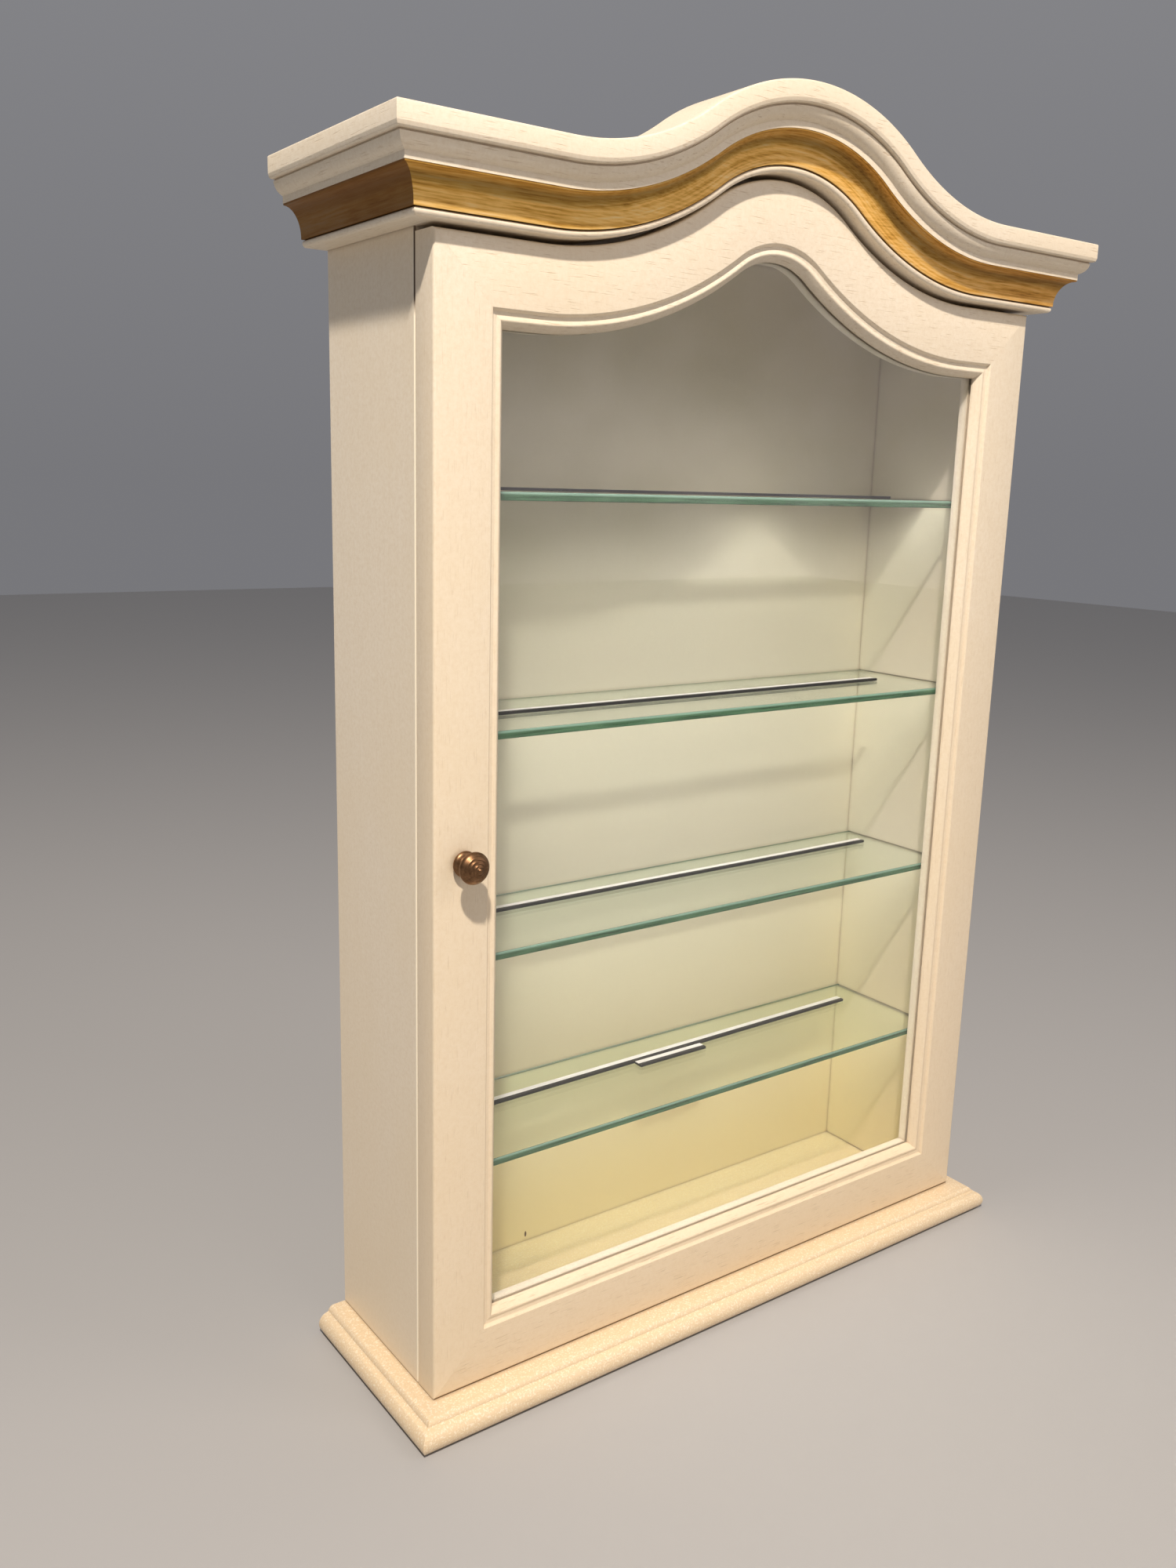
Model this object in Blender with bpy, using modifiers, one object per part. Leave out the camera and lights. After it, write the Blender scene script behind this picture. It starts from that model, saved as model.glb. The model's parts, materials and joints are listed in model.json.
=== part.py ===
"""A wall curio cabinet: painted carcass, gilded serpentine cornice, glazed door on two butt hinges, glass shelves.

Metres, +Z up, +Y towards the wall. The origin is the middle of the cabinet's footprint, on the floor plane.
"""

import math

import bmesh
import bpy
from mathutils import Matrix, Vector

MM = 0.001
GAP = 0.3 * MM  # left between pieces that touch

# Overall sizes
CABINET_WIDTH = 480 * MM  # over the side panels, and the door's width
BODY_DEPTH = 124.7 * MM  # from the door's face to the wall
CORNICE_OVERHANG = 35 * MM  # past the side panels
CORNICE_RECESS = 7.3 * MM  # the front overhang is this much less, because the door stands forward
CORNICE_BOTTOM = 698 * MM
CARCASS_TOP = 743.8 * MM
BASE_THICKNESS = 18.4 * MM

# Planes that follow from them
HALF_WIDTH = CABINET_WIDTH / 2
WALL_Y = (BODY_DEPTH + CORNICE_OVERHANG - CORNICE_RECESS) / 2
DOOR_FACE_Y = WALL_Y - BODY_DEPTH
DOOR_THICKNESS = 19.9 * MM
DOOR_BACK_Y = DOOR_FACE_Y + DOOR_THICKNESS
CARCASS_FRONT_Y = DOOR_BACK_Y + GAP

# Door
DOOR_BOTTOM = 19.2 * MM
DOOR_TOP = 695.4 * MM  # at the corners, below the arch
FRAME_WIDTH = 45.5 * MM  # stile or rail, to the sight edge
GLASS_DEPTH = 8.1 * MM  # from the door's face to the glass
GLASS_THICKNESS = 3 * MM
REBATE_WIDTH = 7 * MM
BEAD_BACK_INSET = 0.4 * MM

# Serpentine line of the door's top edge: flat ends, two hollow bends and a crest
ARCH_HALF_SPAN = 174 * MM
ARCH_RISE = 55 * MM
CREST_RADIUS = 93 * MM
HOLLOW_RADIUS = (ARCH_HALF_SPAN**2 + ARCH_RISE**2) / (2 * ARCH_RISE) - CREST_RADIUS
BEND_ANGLE = 2 * math.atan(ARCH_RISE / ARCH_HALF_SPAN)
HOLLOW_STEPS = 7
CREST_STEPS = 14

# Carcass
SIDE_THICKNESS = 19 * MM
BACK_THICKNESS = 5 * MM
TOP_THICKNESS = 18.2 * MM
BACK_REBATE = 9.5 * MM  # how far the back panel is let into each side
HEAD_RAIL_THICKNESS = 15 * MM
HEAD_RAIL_DROP = 25 * MM  # below the door's top line
HEAD_RAIL_RISE = 40 * MM  # above it, at the arch

# Shelves
SHELF_TOPS = [157 * MM, 293.2 * MM, 429.2 * MM, 565.5 * MM]
SHELF_THICKNESS = 5 * MM
GROOVE_DEPTH = 5 * MM
STRIP_WIDTH = 7.5 * MM
STRIP_THICKNESS = 1.9 * MM
# shelf number, left end, right end, middle line behind the door's face, turn in degrees
STRIPS = {
    "shelf_strip_1": (1, -200 * MM, 195.7 * MM, 88.7 * MM, 0.87),
    "shelf_strip_1_short": (1, -26 * MM, 36 * MM, 80.2 * MM, 0.0),
    "shelf_strip_2": (2, -197 * MM, 203.5 * MM, 88.7 * MM, 0.0),
    "shelf_strip_3": (3, -203 * MM, 182.5 * MM, 68.7 * MM, 0.0),
    "shelf_strip_4": (4, -201 * MM, 187 * MM, 71.5 * MM, 0.3),
}

# Hinges
HINGE_AXIS_X = HALF_WIDTH + 3 * MM
HINGE_AXIS_Y = (DOOR_BACK_Y + CARCASS_FRONT_Y) / 2
HINGE_HEIGHTS = {"upper": 615 * MM, "lower": 105 * MM}
HINGE_LENGTH = 50 * MM
LEAF_THICKNESS = 1.6 * MM
LEAF_REACH = 16 * MM  # from the cabinet's side towards its middle
KNUCKLE_RADIUS = 2.6 * MM
KNUCKLE_BORE = 1.5 * MM
HINGE_PIN_RADIUS = 1.2 * MM
KNUCKLE_GAP = 0.4 * MM
TAB_END_X = HINGE_AXIS_X - 1.8 * MM  # inside the wall of the knuckle
TAB_INSET = 0.2 * MM
LEAF_SCREW_X = HALF_WIDTH - 8.5 * MM
LEAF_SCREW_SPREAD = 15 * MM  # above and below the hinge's middle

# Countersunk wood screws
SCREW_HEAD_RADIUS = 3 * MM
SCREW_SHANK_RADIUS = 1.4 * MM
SCREW_LENGTH = 12 * MM
SCREW_HEAD_DEPTH = 1.6 * MM
PILOT_RADIUS = 2 * MM

# Knob
KNOB_X = -HALF_WIDTH + 18 * MM
KNOB_Z = 360 * MM
KNOB_BORE = 2.3 * MM
KNOB_BORE_DEPTH = 9 * MM
KNOB_SCREW_RADIUS = 2 * MM
KNOB_SCREW_HEAD = 4 * MM

# Magnetic catch
CATCH_SIZE = Vector((12 * MM, 20 * MM, 32 * MM))
CATCH_Z = 328 * MM
STRIKE_WIDTH = 12 * MM
STRIKE_HEIGHT = 26 * MM
STRIKE_THICKNESS = 1 * MM

# Hanging plates
HANGER_X = 150 * MM
HANGER_WIDTH = 18 * MM
HANGER_THICKNESS = 1.5 * MM
HANGER_BOTTOM = CARCASS_TOP - 17 * MM
HANGER_TOP = CARCASS_TOP + 15 * MM
HANGER_HOLE_RADIUS = 3 * MM

TURNED_STEPS = 16
SCREW_STEPS = 10


# ---------------------------------------------------------------- scene and materials


def clear_scene():
    for old in list(bpy.data.objects):
        bpy.data.objects.remove(old)


def new_collection(name):
    collection = bpy.data.collections.new(name)
    bpy.context.scene.collection.children.link(collection)
    return collection


def new_material(name, color, roughness, metallic=0.0, transmission=0.0):
    material = bpy.data.materials.new(name)
    material.use_nodes = True
    shader = material.node_tree.nodes["Principled BSDF"]
    shader.inputs["Base Color"].default_value = (*color, 1)
    shader.inputs["Roughness"].default_value = roughness
    shader.inputs["Metallic"].default_value = metallic
    shader.inputs["Transmission Weight"].default_value = transmission
    return material


clear_scene()
PARTS = new_collection("curio_cabinet")
CUTTERS = new_collection("cutters")

CREAM = new_material("cream_paint", (0.86, 0.75, 0.56), 0.45)
GILT = new_material("gilded_paint", (0.50, 0.28, 0.07), 0.40, metallic=0.5)
DOOR_GLASS = new_material("door_glass", (0.95, 0.98, 0.95), 0.02, transmission=1.0)
SHELF_GLASS = new_material("shelf_glass", (0.62, 0.85, 0.74), 0.02, transmission=1.0)
BRASS = new_material("aged_brass", (0.42, 0.26, 0.12), 0.35, metallic=0.9)
STEEL = new_material("zinc_steel", (0.60, 0.60, 0.58), 0.40, metallic=0.9)
PLASTIC = new_material("catch_plastic", (0.55, 0.38, 0.22), 0.50)
STRIP = new_material("strip_board", (0.80, 0.78, 0.80), 0.60)


# ---------------------------------------------------------------- modelling helpers


def add_part(name, mesh, material):
    mesh.name = name
    mesh.materials.clear()
    mesh.materials.append(material)
    part = bpy.data.objects.new(name, mesh)
    PARTS.objects.link(part)
    return part


def mesh_of(source):
    """A plain mesh of an object as its modifiers and curve settings shape it. The object itself is removed."""
    depsgraph = bpy.context.evaluated_depsgraph_get()
    mesh = bpy.data.meshes.new_from_object(source.evaluated_get(depsgraph))
    mesh.transform(source.matrix_world)
    bpy.data.objects.remove(source)
    bm = bmesh.new()
    bm.from_mesh(mesh)
    bmesh.ops.remove_doubles(bm, verts=bm.verts, dist=0.01 * MM)
    bmesh.ops.recalc_face_normals(bm, faces=bm.faces)
    bm.to_mesh(mesh)
    bm.free()
    return mesh


def box_mesh(low, high, bevel=0.0):
    low = Vector(low)
    high = Vector(high)
    bm = bmesh.new()
    bmesh.ops.create_cube(bm, size=1.0)
    bmesh.ops.scale(bm, vec=high - low, verts=bm.verts)
    bmesh.ops.translate(bm, vec=(low + high) / 2, verts=bm.verts)
    if bevel:
        bmesh.ops.bevel(bm, geom=bm.edges, offset=bevel, segments=1, affect="EDGES")
    mesh = bpy.data.meshes.new("box")
    bm.to_mesh(mesh)
    bm.free()
    return mesh


def flat_curve(points, cyclic):
    curve = bpy.data.curves.new("outline", "CURVE")
    curve.dimensions = "2D"
    spline = curve.splines.new("POLY")
    spline.points.add(len(points) - 1)
    for point, (x, y) in zip(spline.points, points):
        point.co = (x, y, 0, 1)
    spline.use_cyclic_u = cyclic
    return curve


def place(data, matrix):
    thing = bpy.data.objects.new("shape", data)
    CUTTERS.objects.link(thing)
    thing.matrix_world = matrix
    bpy.context.view_layer.update()
    return thing


def axes(right, up, normal, centre=(0, 0, 0)):
    """The matrix that lays a drawing's x along right, its y along up and its thickness along normal."""
    matrix = Matrix((right, up, normal)).transposed().to_4x4()
    matrix.translation = centre
    return matrix


def extruded(points, start, end, plane):
    """A flat outline given thickness: drawn in the front (XZ), plan (XY) or side (YZ) plane, from start to end."""
    curve = flat_curve(points, cyclic=True)
    curve.fill_mode = "BOTH"
    curve.extrude = (end - start) / 2
    middle = (start + end) / 2
    if plane == "front":
        matrix = axes((1, 0, 0), (0, 0, 1), (0, -1, 0), (0, middle, 0))
    elif plane == "plan":
        matrix = axes((1, 0, 0), (0, 1, 0), (0, 0, 1), (0, 0, middle))
    else:
        matrix = axes((0, 1, 0), (0, 0, 1), (1, 0, 0), (middle, 0, 0))
    return mesh_of(place(curve, matrix))


def swept(path, profile):
    """A moulding run along a line in the front plane. The profile is (height square to the line, distance forward)."""
    section = place(flat_curve([(-rise, out) for rise, out in profile], cyclic=True), Matrix())
    curve = flat_curve(path, cyclic=False)
    curve.bevel_mode = "OBJECT"
    curve.bevel_object = section
    curve.use_fill_caps = True
    mesh = mesh_of(place(curve, axes((1, 0, 0), (0, 0, 1), (0, -1, 0))))
    bpy.data.objects.remove(section)
    return mesh


def turned(profile, steps, matrix):
    """A turned piece: (radius, height) points from the top of its axis down its outside to the bottom."""
    mesh = bpy.data.meshes.new("profile")
    corners = [(radius, 0, height) for radius, height in profile]
    mesh.from_pydata(corners, [(i, i + 1) for i in range(len(corners) - 1)], [])
    piece = place(mesh, matrix)
    screw = piece.modifiers.new("turn", "SCREW")
    screw.steps = steps
    screw.render_steps = steps
    screw.use_merge_vertices = True
    screw.merge_threshold = 0.01 * MM
    return mesh_of(piece)


def sliced(mesh, point, normal):
    """Cuts a mesh on a plane, drops what lies on the normal's side and closes the cut."""
    bm = bmesh.new()
    bm.from_mesh(mesh)
    everything = list(bm.verts) + list(bm.edges) + list(bm.faces)
    cut = bmesh.ops.bisect_plane(bm, geom=everything, plane_co=point, plane_no=normal, clear_outer=True)
    edges = [item for item in cut["geom_cut"] if isinstance(item, bmesh.types.BMEdge)]
    bmesh.ops.contextual_create(bm, geom=edges)
    bmesh.ops.recalc_face_normals(bm, faces=bm.faces)
    bm.to_mesh(mesh)
    bm.free()
    return mesh


def combine(part, name, mesh, operation="DIFFERENCE"):
    cutter = bpy.data.objects.new(name, mesh)
    cutter.hide_render = True
    cutter.display_type = "WIRE"
    CUTTERS.objects.link(cutter)
    boolean = part.modifiers.new(name, "BOOLEAN")
    boolean.operation = operation
    boolean.object = cutter


def smooth(part, angle=35):
    part.data.shade_smooth()
    part.data.set_sharp_from_angle(angle=math.radians(angle))


def arc(centre, radius, start, end, steps):
    """Points on an arc, or on a quarter ellipse where radius is a pair. Angles in degrees."""
    across, up = radius if isinstance(radius, tuple) else (radius, radius)
    turns = [math.radians(start + (end - start) * i / steps) for i in range(steps + 1)]
    return [(centre[0] + across * math.cos(turn), centre[1] + up * math.sin(turn)) for turn in turns]


def serpentine(rise, half_length, base=DOOR_TOP):
    """The door's top line moved up square to itself, from left to right, as (x, z) points."""
    hollow = HOLLOW_RADIUS - rise
    crest = CREST_RADIUS + rise
    hollow_turns = [BEND_ANGLE * i / HOLLOW_STEPS for i in range(HOLLOW_STEPS)]
    half = [(half_length, base + rise)] if half_length > ARCH_HALF_SPAN else []
    for turn in hollow_turns:
        half.append((ARCH_HALF_SPAN - hollow * math.sin(turn), base + HOLLOW_RADIUS - hollow * math.cos(turn)))
    crest_middle = base + ARCH_RISE - CREST_RADIUS
    crest_turns = [BEND_ANGLE * (2 * i / CREST_STEPS - 1) for i in range(CREST_STEPS + 1)]
    top = [(crest * math.sin(turn), crest_middle + crest * math.cos(turn)) for turn in crest_turns]
    return [(-x, z) for x, z in half] + top + half[::-1]


# ---------------------------------------------------------------- carcass


def base_board():
    """One board with its edge moulded on three sides, made as two extruded outlines that cross."""

    def edge(wall, sign):
        """The moulded edge, from the floor up: a swelling half round, a small step and a quarter round."""
        half_round = arc((12.4, 7), (6.9, 7.4), -70, 86, 8)
        quarter_round = arc((8.2, 14.4), 4.0, 8, 90, 4)
        return [(wall + sign * out * MM, max(up, 0) * MM) for out, up in half_round + quarter_round]

    right = edge(HALF_WIDTH, 1)
    across = right + [(-x, z) for x, z in reversed(right)]
    front = edge(DOOR_FACE_Y - 2.9 * MM, -1)
    depth = front + [(WALL_Y, BASE_THICKNESS), (WALL_Y, 0)]
    part = add_part("base_board", extruded(across, DOOR_FACE_Y - 30 * MM, WALL_Y, "front"), CREAM)
    combine(part, "base_depth", extruded(depth, -HALF_WIDTH - 30 * MM, HALF_WIDTH + 30 * MM, "side"), "INTERSECT")
    smooth(part)


def side_panel(name, side):
    low = (side * HALF_WIDTH, CARCASS_FRONT_Y, BASE_THICKNESS + GAP)
    high = (side * (HALF_WIDTH - SIDE_THICKNESS), WALL_Y, CARCASS_TOP)
    corners = [sorted(pair) for pair in zip(low, high)]
    part = add_part(name, box_mesh([c[0] for c in corners], [c[1] for c in corners], 0.6 * MM), CREAM)
    inner = HALF_WIDTH - SIDE_THICKNESS

    def inside_cut(cutter_name, depth, front, back, bottom, top):
        ends = sorted((side * (inner + depth), side * (inner - 5 * MM)))
        combine(part, cutter_name, box_mesh((ends[0], front, bottom), (ends[1], back, top)))

    for number, top in enumerate(SHELF_TOPS, 1):
        bottom = top - SHELF_THICKNESS - GAP
        inside_cut(f"{name}_groove_{number}", GROOVE_DEPTH, CARCASS_FRONT_Y - MM, WALL_Y, bottom, top + GAP)
    rebate_front = WALL_Y - BACK_THICKNESS - GAP
    inside_cut(f"{name}_rebate", BACK_REBATE, rebate_front, WALL_Y + MM, 0, CARCASS_TOP + MM)
    return part


def back_panel():
    half = HALF_WIDTH - SIDE_THICKNESS + BACK_REBATE - GAP
    low = (-half, WALL_Y - BACK_THICKNESS, BASE_THICKNESS + GAP)
    return add_part("back_panel", box_mesh(low, (half, WALL_Y, CARCASS_TOP)), CREAM)


def top_panel():
    half = HALF_WIDTH - SIDE_THICKNESS - GAP
    front = CARCASS_FRONT_Y + HEAD_RAIL_THICKNESS + GAP
    low = (-half, front, CARCASS_TOP - TOP_THICKNESS)
    return add_part("top_panel", box_mesh(low, (half, WALL_Y - BACK_THICKNESS - GAP, CARCASS_TOP)), CREAM)


def head_rail():
    """The board that the arched door closes against and the front cornice is fixed to."""
    half = HALF_WIDTH - SIDE_THICKNESS - GAP
    lower = serpentine(-HEAD_RAIL_DROP, half)
    upper = [(x, max(z, CARCASS_TOP)) for x, z in serpentine(HEAD_RAIL_RISE, half)]
    outline = lower + upper[::-1]
    mesh = extruded(outline, CARCASS_FRONT_Y, CARCASS_FRONT_Y + HEAD_RAIL_THICKNESS, "front")
    return add_part("head_rail", mesh, CREAM)


# ---------------------------------------------------------------- cornice


def cornice_profiles():
    """The three stacked mouldings as (height, distance past the side panel) points, in metres, clockwise."""
    crown = [(743.8, 34.0), (742.7, 35.0), (734.6, 35.0), (733.2, 34.7), (732.0, 33.9), (731.3, 32.7)]
    crown += [(z, out) for out, z in arc((5.95, 742.0), 28, -23.1, -40, 3)] + [(723.4, 26.6), (719.9, 26.6)]
    cove = [(719.6, 26.4)]
    cove += [(z, out) for out, z in arc((26.2, 702.8), (10.2, 16.2), 90, 180, 8)] + [(702.4, 15.9)]
    bead = [(702.1, 14.4), (701.2, 15.1)]
    bead += [(z, out) for out, z in arc((13.2, 700.2), (2.1, 2.2), 0, -90, 4)]
    profiles = {"crown": crown, "cove": cove, "bead": bead}
    return {name: [(z * MM, out * MM) for z, out in points] for name, points in profiles.items()}


def mitre_wedge(side):
    """Removes the end of a front moulding past its mitre, outside the carcass."""
    corner_y = DOOR_FACE_Y + CORNICE_RECESS
    reach = 60 * MM
    plan = [
        (HALF_WIDTH, corner_y),
        (HALF_WIDTH + reach, corner_y - reach),
        (HALF_WIDTH + reach, corner_y + reach),
        (HALF_WIDTH, corner_y + reach),
    ]
    return extruded([(side * x, y) for x, y in plan], CORNICE_BOTTOM - 20 * MM, CARCASS_TOP + 20 * MM, "plan")


def front_moulding(name, profile, material):
    """Runs along the serpentine line above the door, from mitre to mitre."""
    back = DOOR_BACK_Y
    section = [(z - DOOR_TOP, CORNICE_RECESS - out + DOOR_FACE_Y) for z, out in profile]
    section = [(section[0][0], back)] + section + [(section[-1][0], back)]
    path = serpentine(0, HALF_WIDTH + CORNICE_OVERHANG + 5 * MM)
    part = add_part(name, swept(path, [(rise, -y) for rise, y in section]), material)
    combine(part, f"{name}_mitre_right", mitre_wedge(1))
    combine(part, f"{name}_mitre_left", mitre_wedge(-1))
    smooth(part)


def return_moulding(name, profile, material, side):
    """Runs back along the side panel to the wall, mitred to the front moulding."""
    inner = HALF_WIDTH + GAP
    outline = [(inner, profile[0][0])] + [(HALF_WIDTH + out, z) for z, out in profile]
    outline.append((inner, profile[-1][0]))
    mesh = extruded([(side * x, z) for x, z in outline], DOOR_FACE_Y - 60 * MM, WALL_Y, "front")
    corner = (side * (HALF_WIDTH + GAP), DOOR_FACE_Y + CORNICE_RECESS + GAP, 0)
    part = add_part(name, sliced(mesh, corner, (-side, -1, 0)), material)
    smooth(part)


def cornice():
    for kind, profile in cornice_profiles().items():
        material = GILT if kind == "cove" else CREAM
        front_moulding(f"cornice_{kind}_front", profile, material)
        return_moulding(f"cornice_{kind}_left", profile, material, -1)
        return_moulding(f"cornice_{kind}_right", profile, material, 1)


# ---------------------------------------------------------------- shelves


def shelves():
    half = HALF_WIDTH - SIDE_THICKNESS + GROOVE_DEPTH - GAP
    for number, top in enumerate(SHELF_TOPS, 1):
        low = (-half, CARCASS_FRONT_Y + GAP, top - SHELF_THICKNESS)
        high = (half, WALL_Y - BACK_THICKNESS - GAP, top)
        add_part(f"glass_shelf_{number}", box_mesh(low, high, 0.5 * MM), SHELF_GLASS)


def shelf_strips():
    for name, (shelf, left, right, behind_face, turn) in STRIPS.items():
        bottom = SHELF_TOPS[shelf - 1] + GAP
        size = Vector((right - left, STRIP_WIDTH, STRIP_THICKNESS))
        mesh = box_mesh(-size / 2, size / 2)
        part = add_part(name, mesh, STRIP)
        part.location = ((left + right) / 2, DOOR_FACE_Y + behind_face, bottom + STRIP_THICKNESS / 2)
        part.rotation_euler.z = math.radians(turn)


# ---------------------------------------------------------------- door


def frame_section():
    """The door frame's section as (distance in from the outer edge, depth behind the face), in metres."""
    rounded_edge = [(0, 1.2), (0.4, 0.4), (1.2, 0)]
    step = [(35.3, 0), (36.1, 0.3), (36.6, 1.1), (37.2, 2.0), (39.6, 2.3), (40.2, 1.7)]
    ovolo = [(across, -up) for across, up in arc((40.4, -6.6), (5.1, 4.9), 88, 0, 5)]
    rebate = [(45.5, 7.8), (38.5, 7.8), (38.5, 19.9), (0, 19.9)]
    return [(across * MM, deep * MM) for across, deep in rounded_edge + step + ovolo + rebate]


def door_member(name, mesh, cuts):
    for point, normal in cuts:
        mesh = sliced(mesh, point, normal)
    part = add_part(name, mesh, CREAM)
    smooth(part)
    return part


def door_frame():
    section = frame_section()
    half_gap = GAP / 2
    top_right = (HALF_WIDTH - half_gap, 0, DOOR_TOP)
    top_left = (-HALF_WIDTH + half_gap, 0, DOOR_TOP)
    low_right = (HALF_WIDTH - half_gap, 0, DOOR_BOTTOM)
    low_left = (-HALF_WIDTH + half_gap, 0, DOOR_BOTTOM)
    stiles = {}
    for name, side, top, low in (("left", -1, top_left, low_left), ("right", 1, top_right, low_right)):
        plan = [(side * (HALF_WIDTH - across), DOOR_FACE_Y + deep) for across, deep in section]
        mesh = extruded(plan, DOOR_BOTTOM - 20 * MM, DOOR_TOP + 20 * MM, "plan")
        cuts = [(top, (-side, 0, 1)), (low, (-side, 0, -1))]
        moved = [((x + side * GAP / 2, y, z), normal) for (x, y, z), normal in cuts]
        stiles[name] = door_member(f"door_stile_{name}", mesh, moved)
    side_view = [(DOOR_FACE_Y + deep, DOOR_BOTTOM + across) for across, deep in section]
    mesh = extruded(side_view, -HALF_WIDTH - 20 * MM, HALF_WIDTH + 20 * MM, "side")
    door_member("door_rail_bottom", mesh, [(low_left, (-1, 0, 1)), (low_right, (1, 0, 1))])
    path = serpentine(0, HALF_WIDTH + 20 * MM)
    mesh = swept(path, [(-across, -DOOR_FACE_Y - deep) for across, deep in section])
    door_member("door_rail_top", mesh, [(top_left, (-1, 0, -1)), (top_right, (1, 0, -1))])
    return stiles


def sight_outline(grow):
    """The door's opening, enlarged all round: straight below, serpentine on top."""
    half = HALF_WIDTH - FRAME_WIDTH + grow
    bottom = DOOR_BOTTOM + FRAME_WIDTH - grow
    return [(half, bottom), (-half, bottom)] + serpentine(-FRAME_WIDTH + grow, half)


def door_glass():
    front = DOOR_FACE_Y + GLASS_DEPTH
    mesh = extruded(sight_outline(REBATE_WIDTH - GAP), front, front + GLASS_THICKNESS, "front")
    add_part("door_glass", mesh, DOOR_GLASS)


def glazing_beads():
    """Four mitred beads that hold the glass in its rebate from behind."""
    front = GLASS_DEPTH + GLASS_THICKNESS + GAP
    back = DOOR_THICKNESS - BEAD_BACK_INSET
    outer = FRAME_WIDTH - REBATE_WIDTH + GAP
    inner = FRAME_WIDTH
    chamfer = 1.5 * MM
    section = [(outer, back), (outer, front), (inner, front), (inner, back - chamfer), (inner - chamfer, back)]
    corner_x = HALF_WIDTH - GAP / 2
    for name, side in (("left", -1), ("right", 1)):
        plan = [(side * (HALF_WIDTH - across), DOOR_FACE_Y + deep) for across, deep in section]
        mesh = extruded(plan, DOOR_BOTTOM - 20 * MM, DOOR_TOP + 20 * MM, "plan")
        outside = side * (HALF_WIDTH + GAP / 2)
        cuts = [((outside, 0, DOOR_TOP), (-side, 0, 1)), ((outside, 0, DOOR_BOTTOM), (-side, 0, -1))]
        door_member(f"glazing_bead_{name}", mesh, cuts)
    side_view = [(DOOR_FACE_Y + deep, DOOR_BOTTOM + across) for across, deep in section]
    mesh = extruded(side_view, -HALF_WIDTH - 20 * MM, HALF_WIDTH + 20 * MM, "side")
    cuts = [((-corner_x, 0, DOOR_BOTTOM), (-1, 0, 1)), ((corner_x, 0, DOOR_BOTTOM), (1, 0, 1))]
    door_member("glazing_bead_bottom", mesh, cuts)
    mesh = swept(serpentine(0, HALF_WIDTH + 20 * MM), [(-across, -DOOR_FACE_Y - deep) for across, deep in section])
    cuts = [((-corner_x, 0, DOOR_TOP), (-1, 0, -1)), ((corner_x, 0, DOOR_TOP), (1, 0, -1))]
    door_member("glazing_bead_top", mesh, cuts)


# ---------------------------------------------------------------- hardware


def screw_profile(length=SCREW_LENGTH):
    """A countersunk screw, head up, its face at height 0."""
    return [
        (0, 0),
        (SCREW_HEAD_RADIUS, 0),
        (SCREW_SHANK_RADIUS, -SCREW_HEAD_DEPTH),
        (SCREW_SHANK_RADIUS, -length * 0.8),
        (0, -length),
    ]


def pointing(direction, place_at):
    """A matrix that turns +Z to the direction and moves the origin to the place."""
    turn = Vector((0, 0, 1)).rotation_difference(Vector(direction)).to_matrix().to_4x4()
    return Matrix.Translation(place_at) @ turn


def joined(meshes):
    bm = bmesh.new()
    for mesh in meshes:
        bm.from_mesh(mesh)
    together = bpy.data.meshes.new("joined")
    bm.to_mesh(together)
    bm.free()
    return together


def wood_screws(places, outward, holders, length=SCREW_LENGTH):
    """Screws with their faces at the given places, and their countersunk holes through each piece they hold."""
    mouth = SCREW_HEAD_RADIUS + GAP
    lip = 0.1 * MM
    clearance = [
        (0, MM),
        (mouth, MM),
        (mouth, -lip),
        (PILOT_RADIUS, PILOT_RADIUS - mouth - lip),
        (PILOT_RADIUS, -length - GAP),
        (0, -length - GAP),
    ]
    for name, place_at in places.items():
        part = add_part(name, turned(screw_profile(length), SCREW_STEPS, pointing(outward, place_at)), STEEL)
        smooth(part)
    for holder in holders:
        holes = [turned(clearance, SCREW_STEPS, pointing(outward, at)) for at in places.values()]
        combine(holder, f"{holder.name}_screw_holes", joined(holes))


def knuckle(low, high):
    """A tube on the hinge's axis."""
    profile = [(KNUCKLE_BORE, high), (KNUCKLE_RADIUS, high), (KNUCKLE_RADIUS, low), (KNUCKLE_BORE, low)]
    matrix = Matrix.Translation((HINGE_AXIS_X, HINGE_AXIS_Y, 0))
    return turned(profile + profile[:1], TURNED_STEPS, matrix)


def hinge_leaf(name, bottom, knuckles, front, back):
    """A flat plate with a tab into the wall of each of its knuckles."""
    reach = HALF_WIDTH - LEAF_REACH
    top = bottom + HINGE_LENGTH
    outline = [(reach, top), (reach, bottom), (HALF_WIDTH, bottom)]
    for low, high in knuckles:
        low += TAB_INSET
        high -= TAB_INSET
        outline += [(HALF_WIDTH, low), (TAB_END_X, low), (TAB_END_X, high), (HALF_WIDTH, high)]
    outline.append((HALF_WIDTH, top))
    part = add_part(name, extruded(outline, front, back, "front"), BRASS)
    for number, (low, high) in enumerate(knuckles, 1):
        combine(part, f"{name}_knuckle_{number}", knuckle(low, high), "UNION")
    return part


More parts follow.
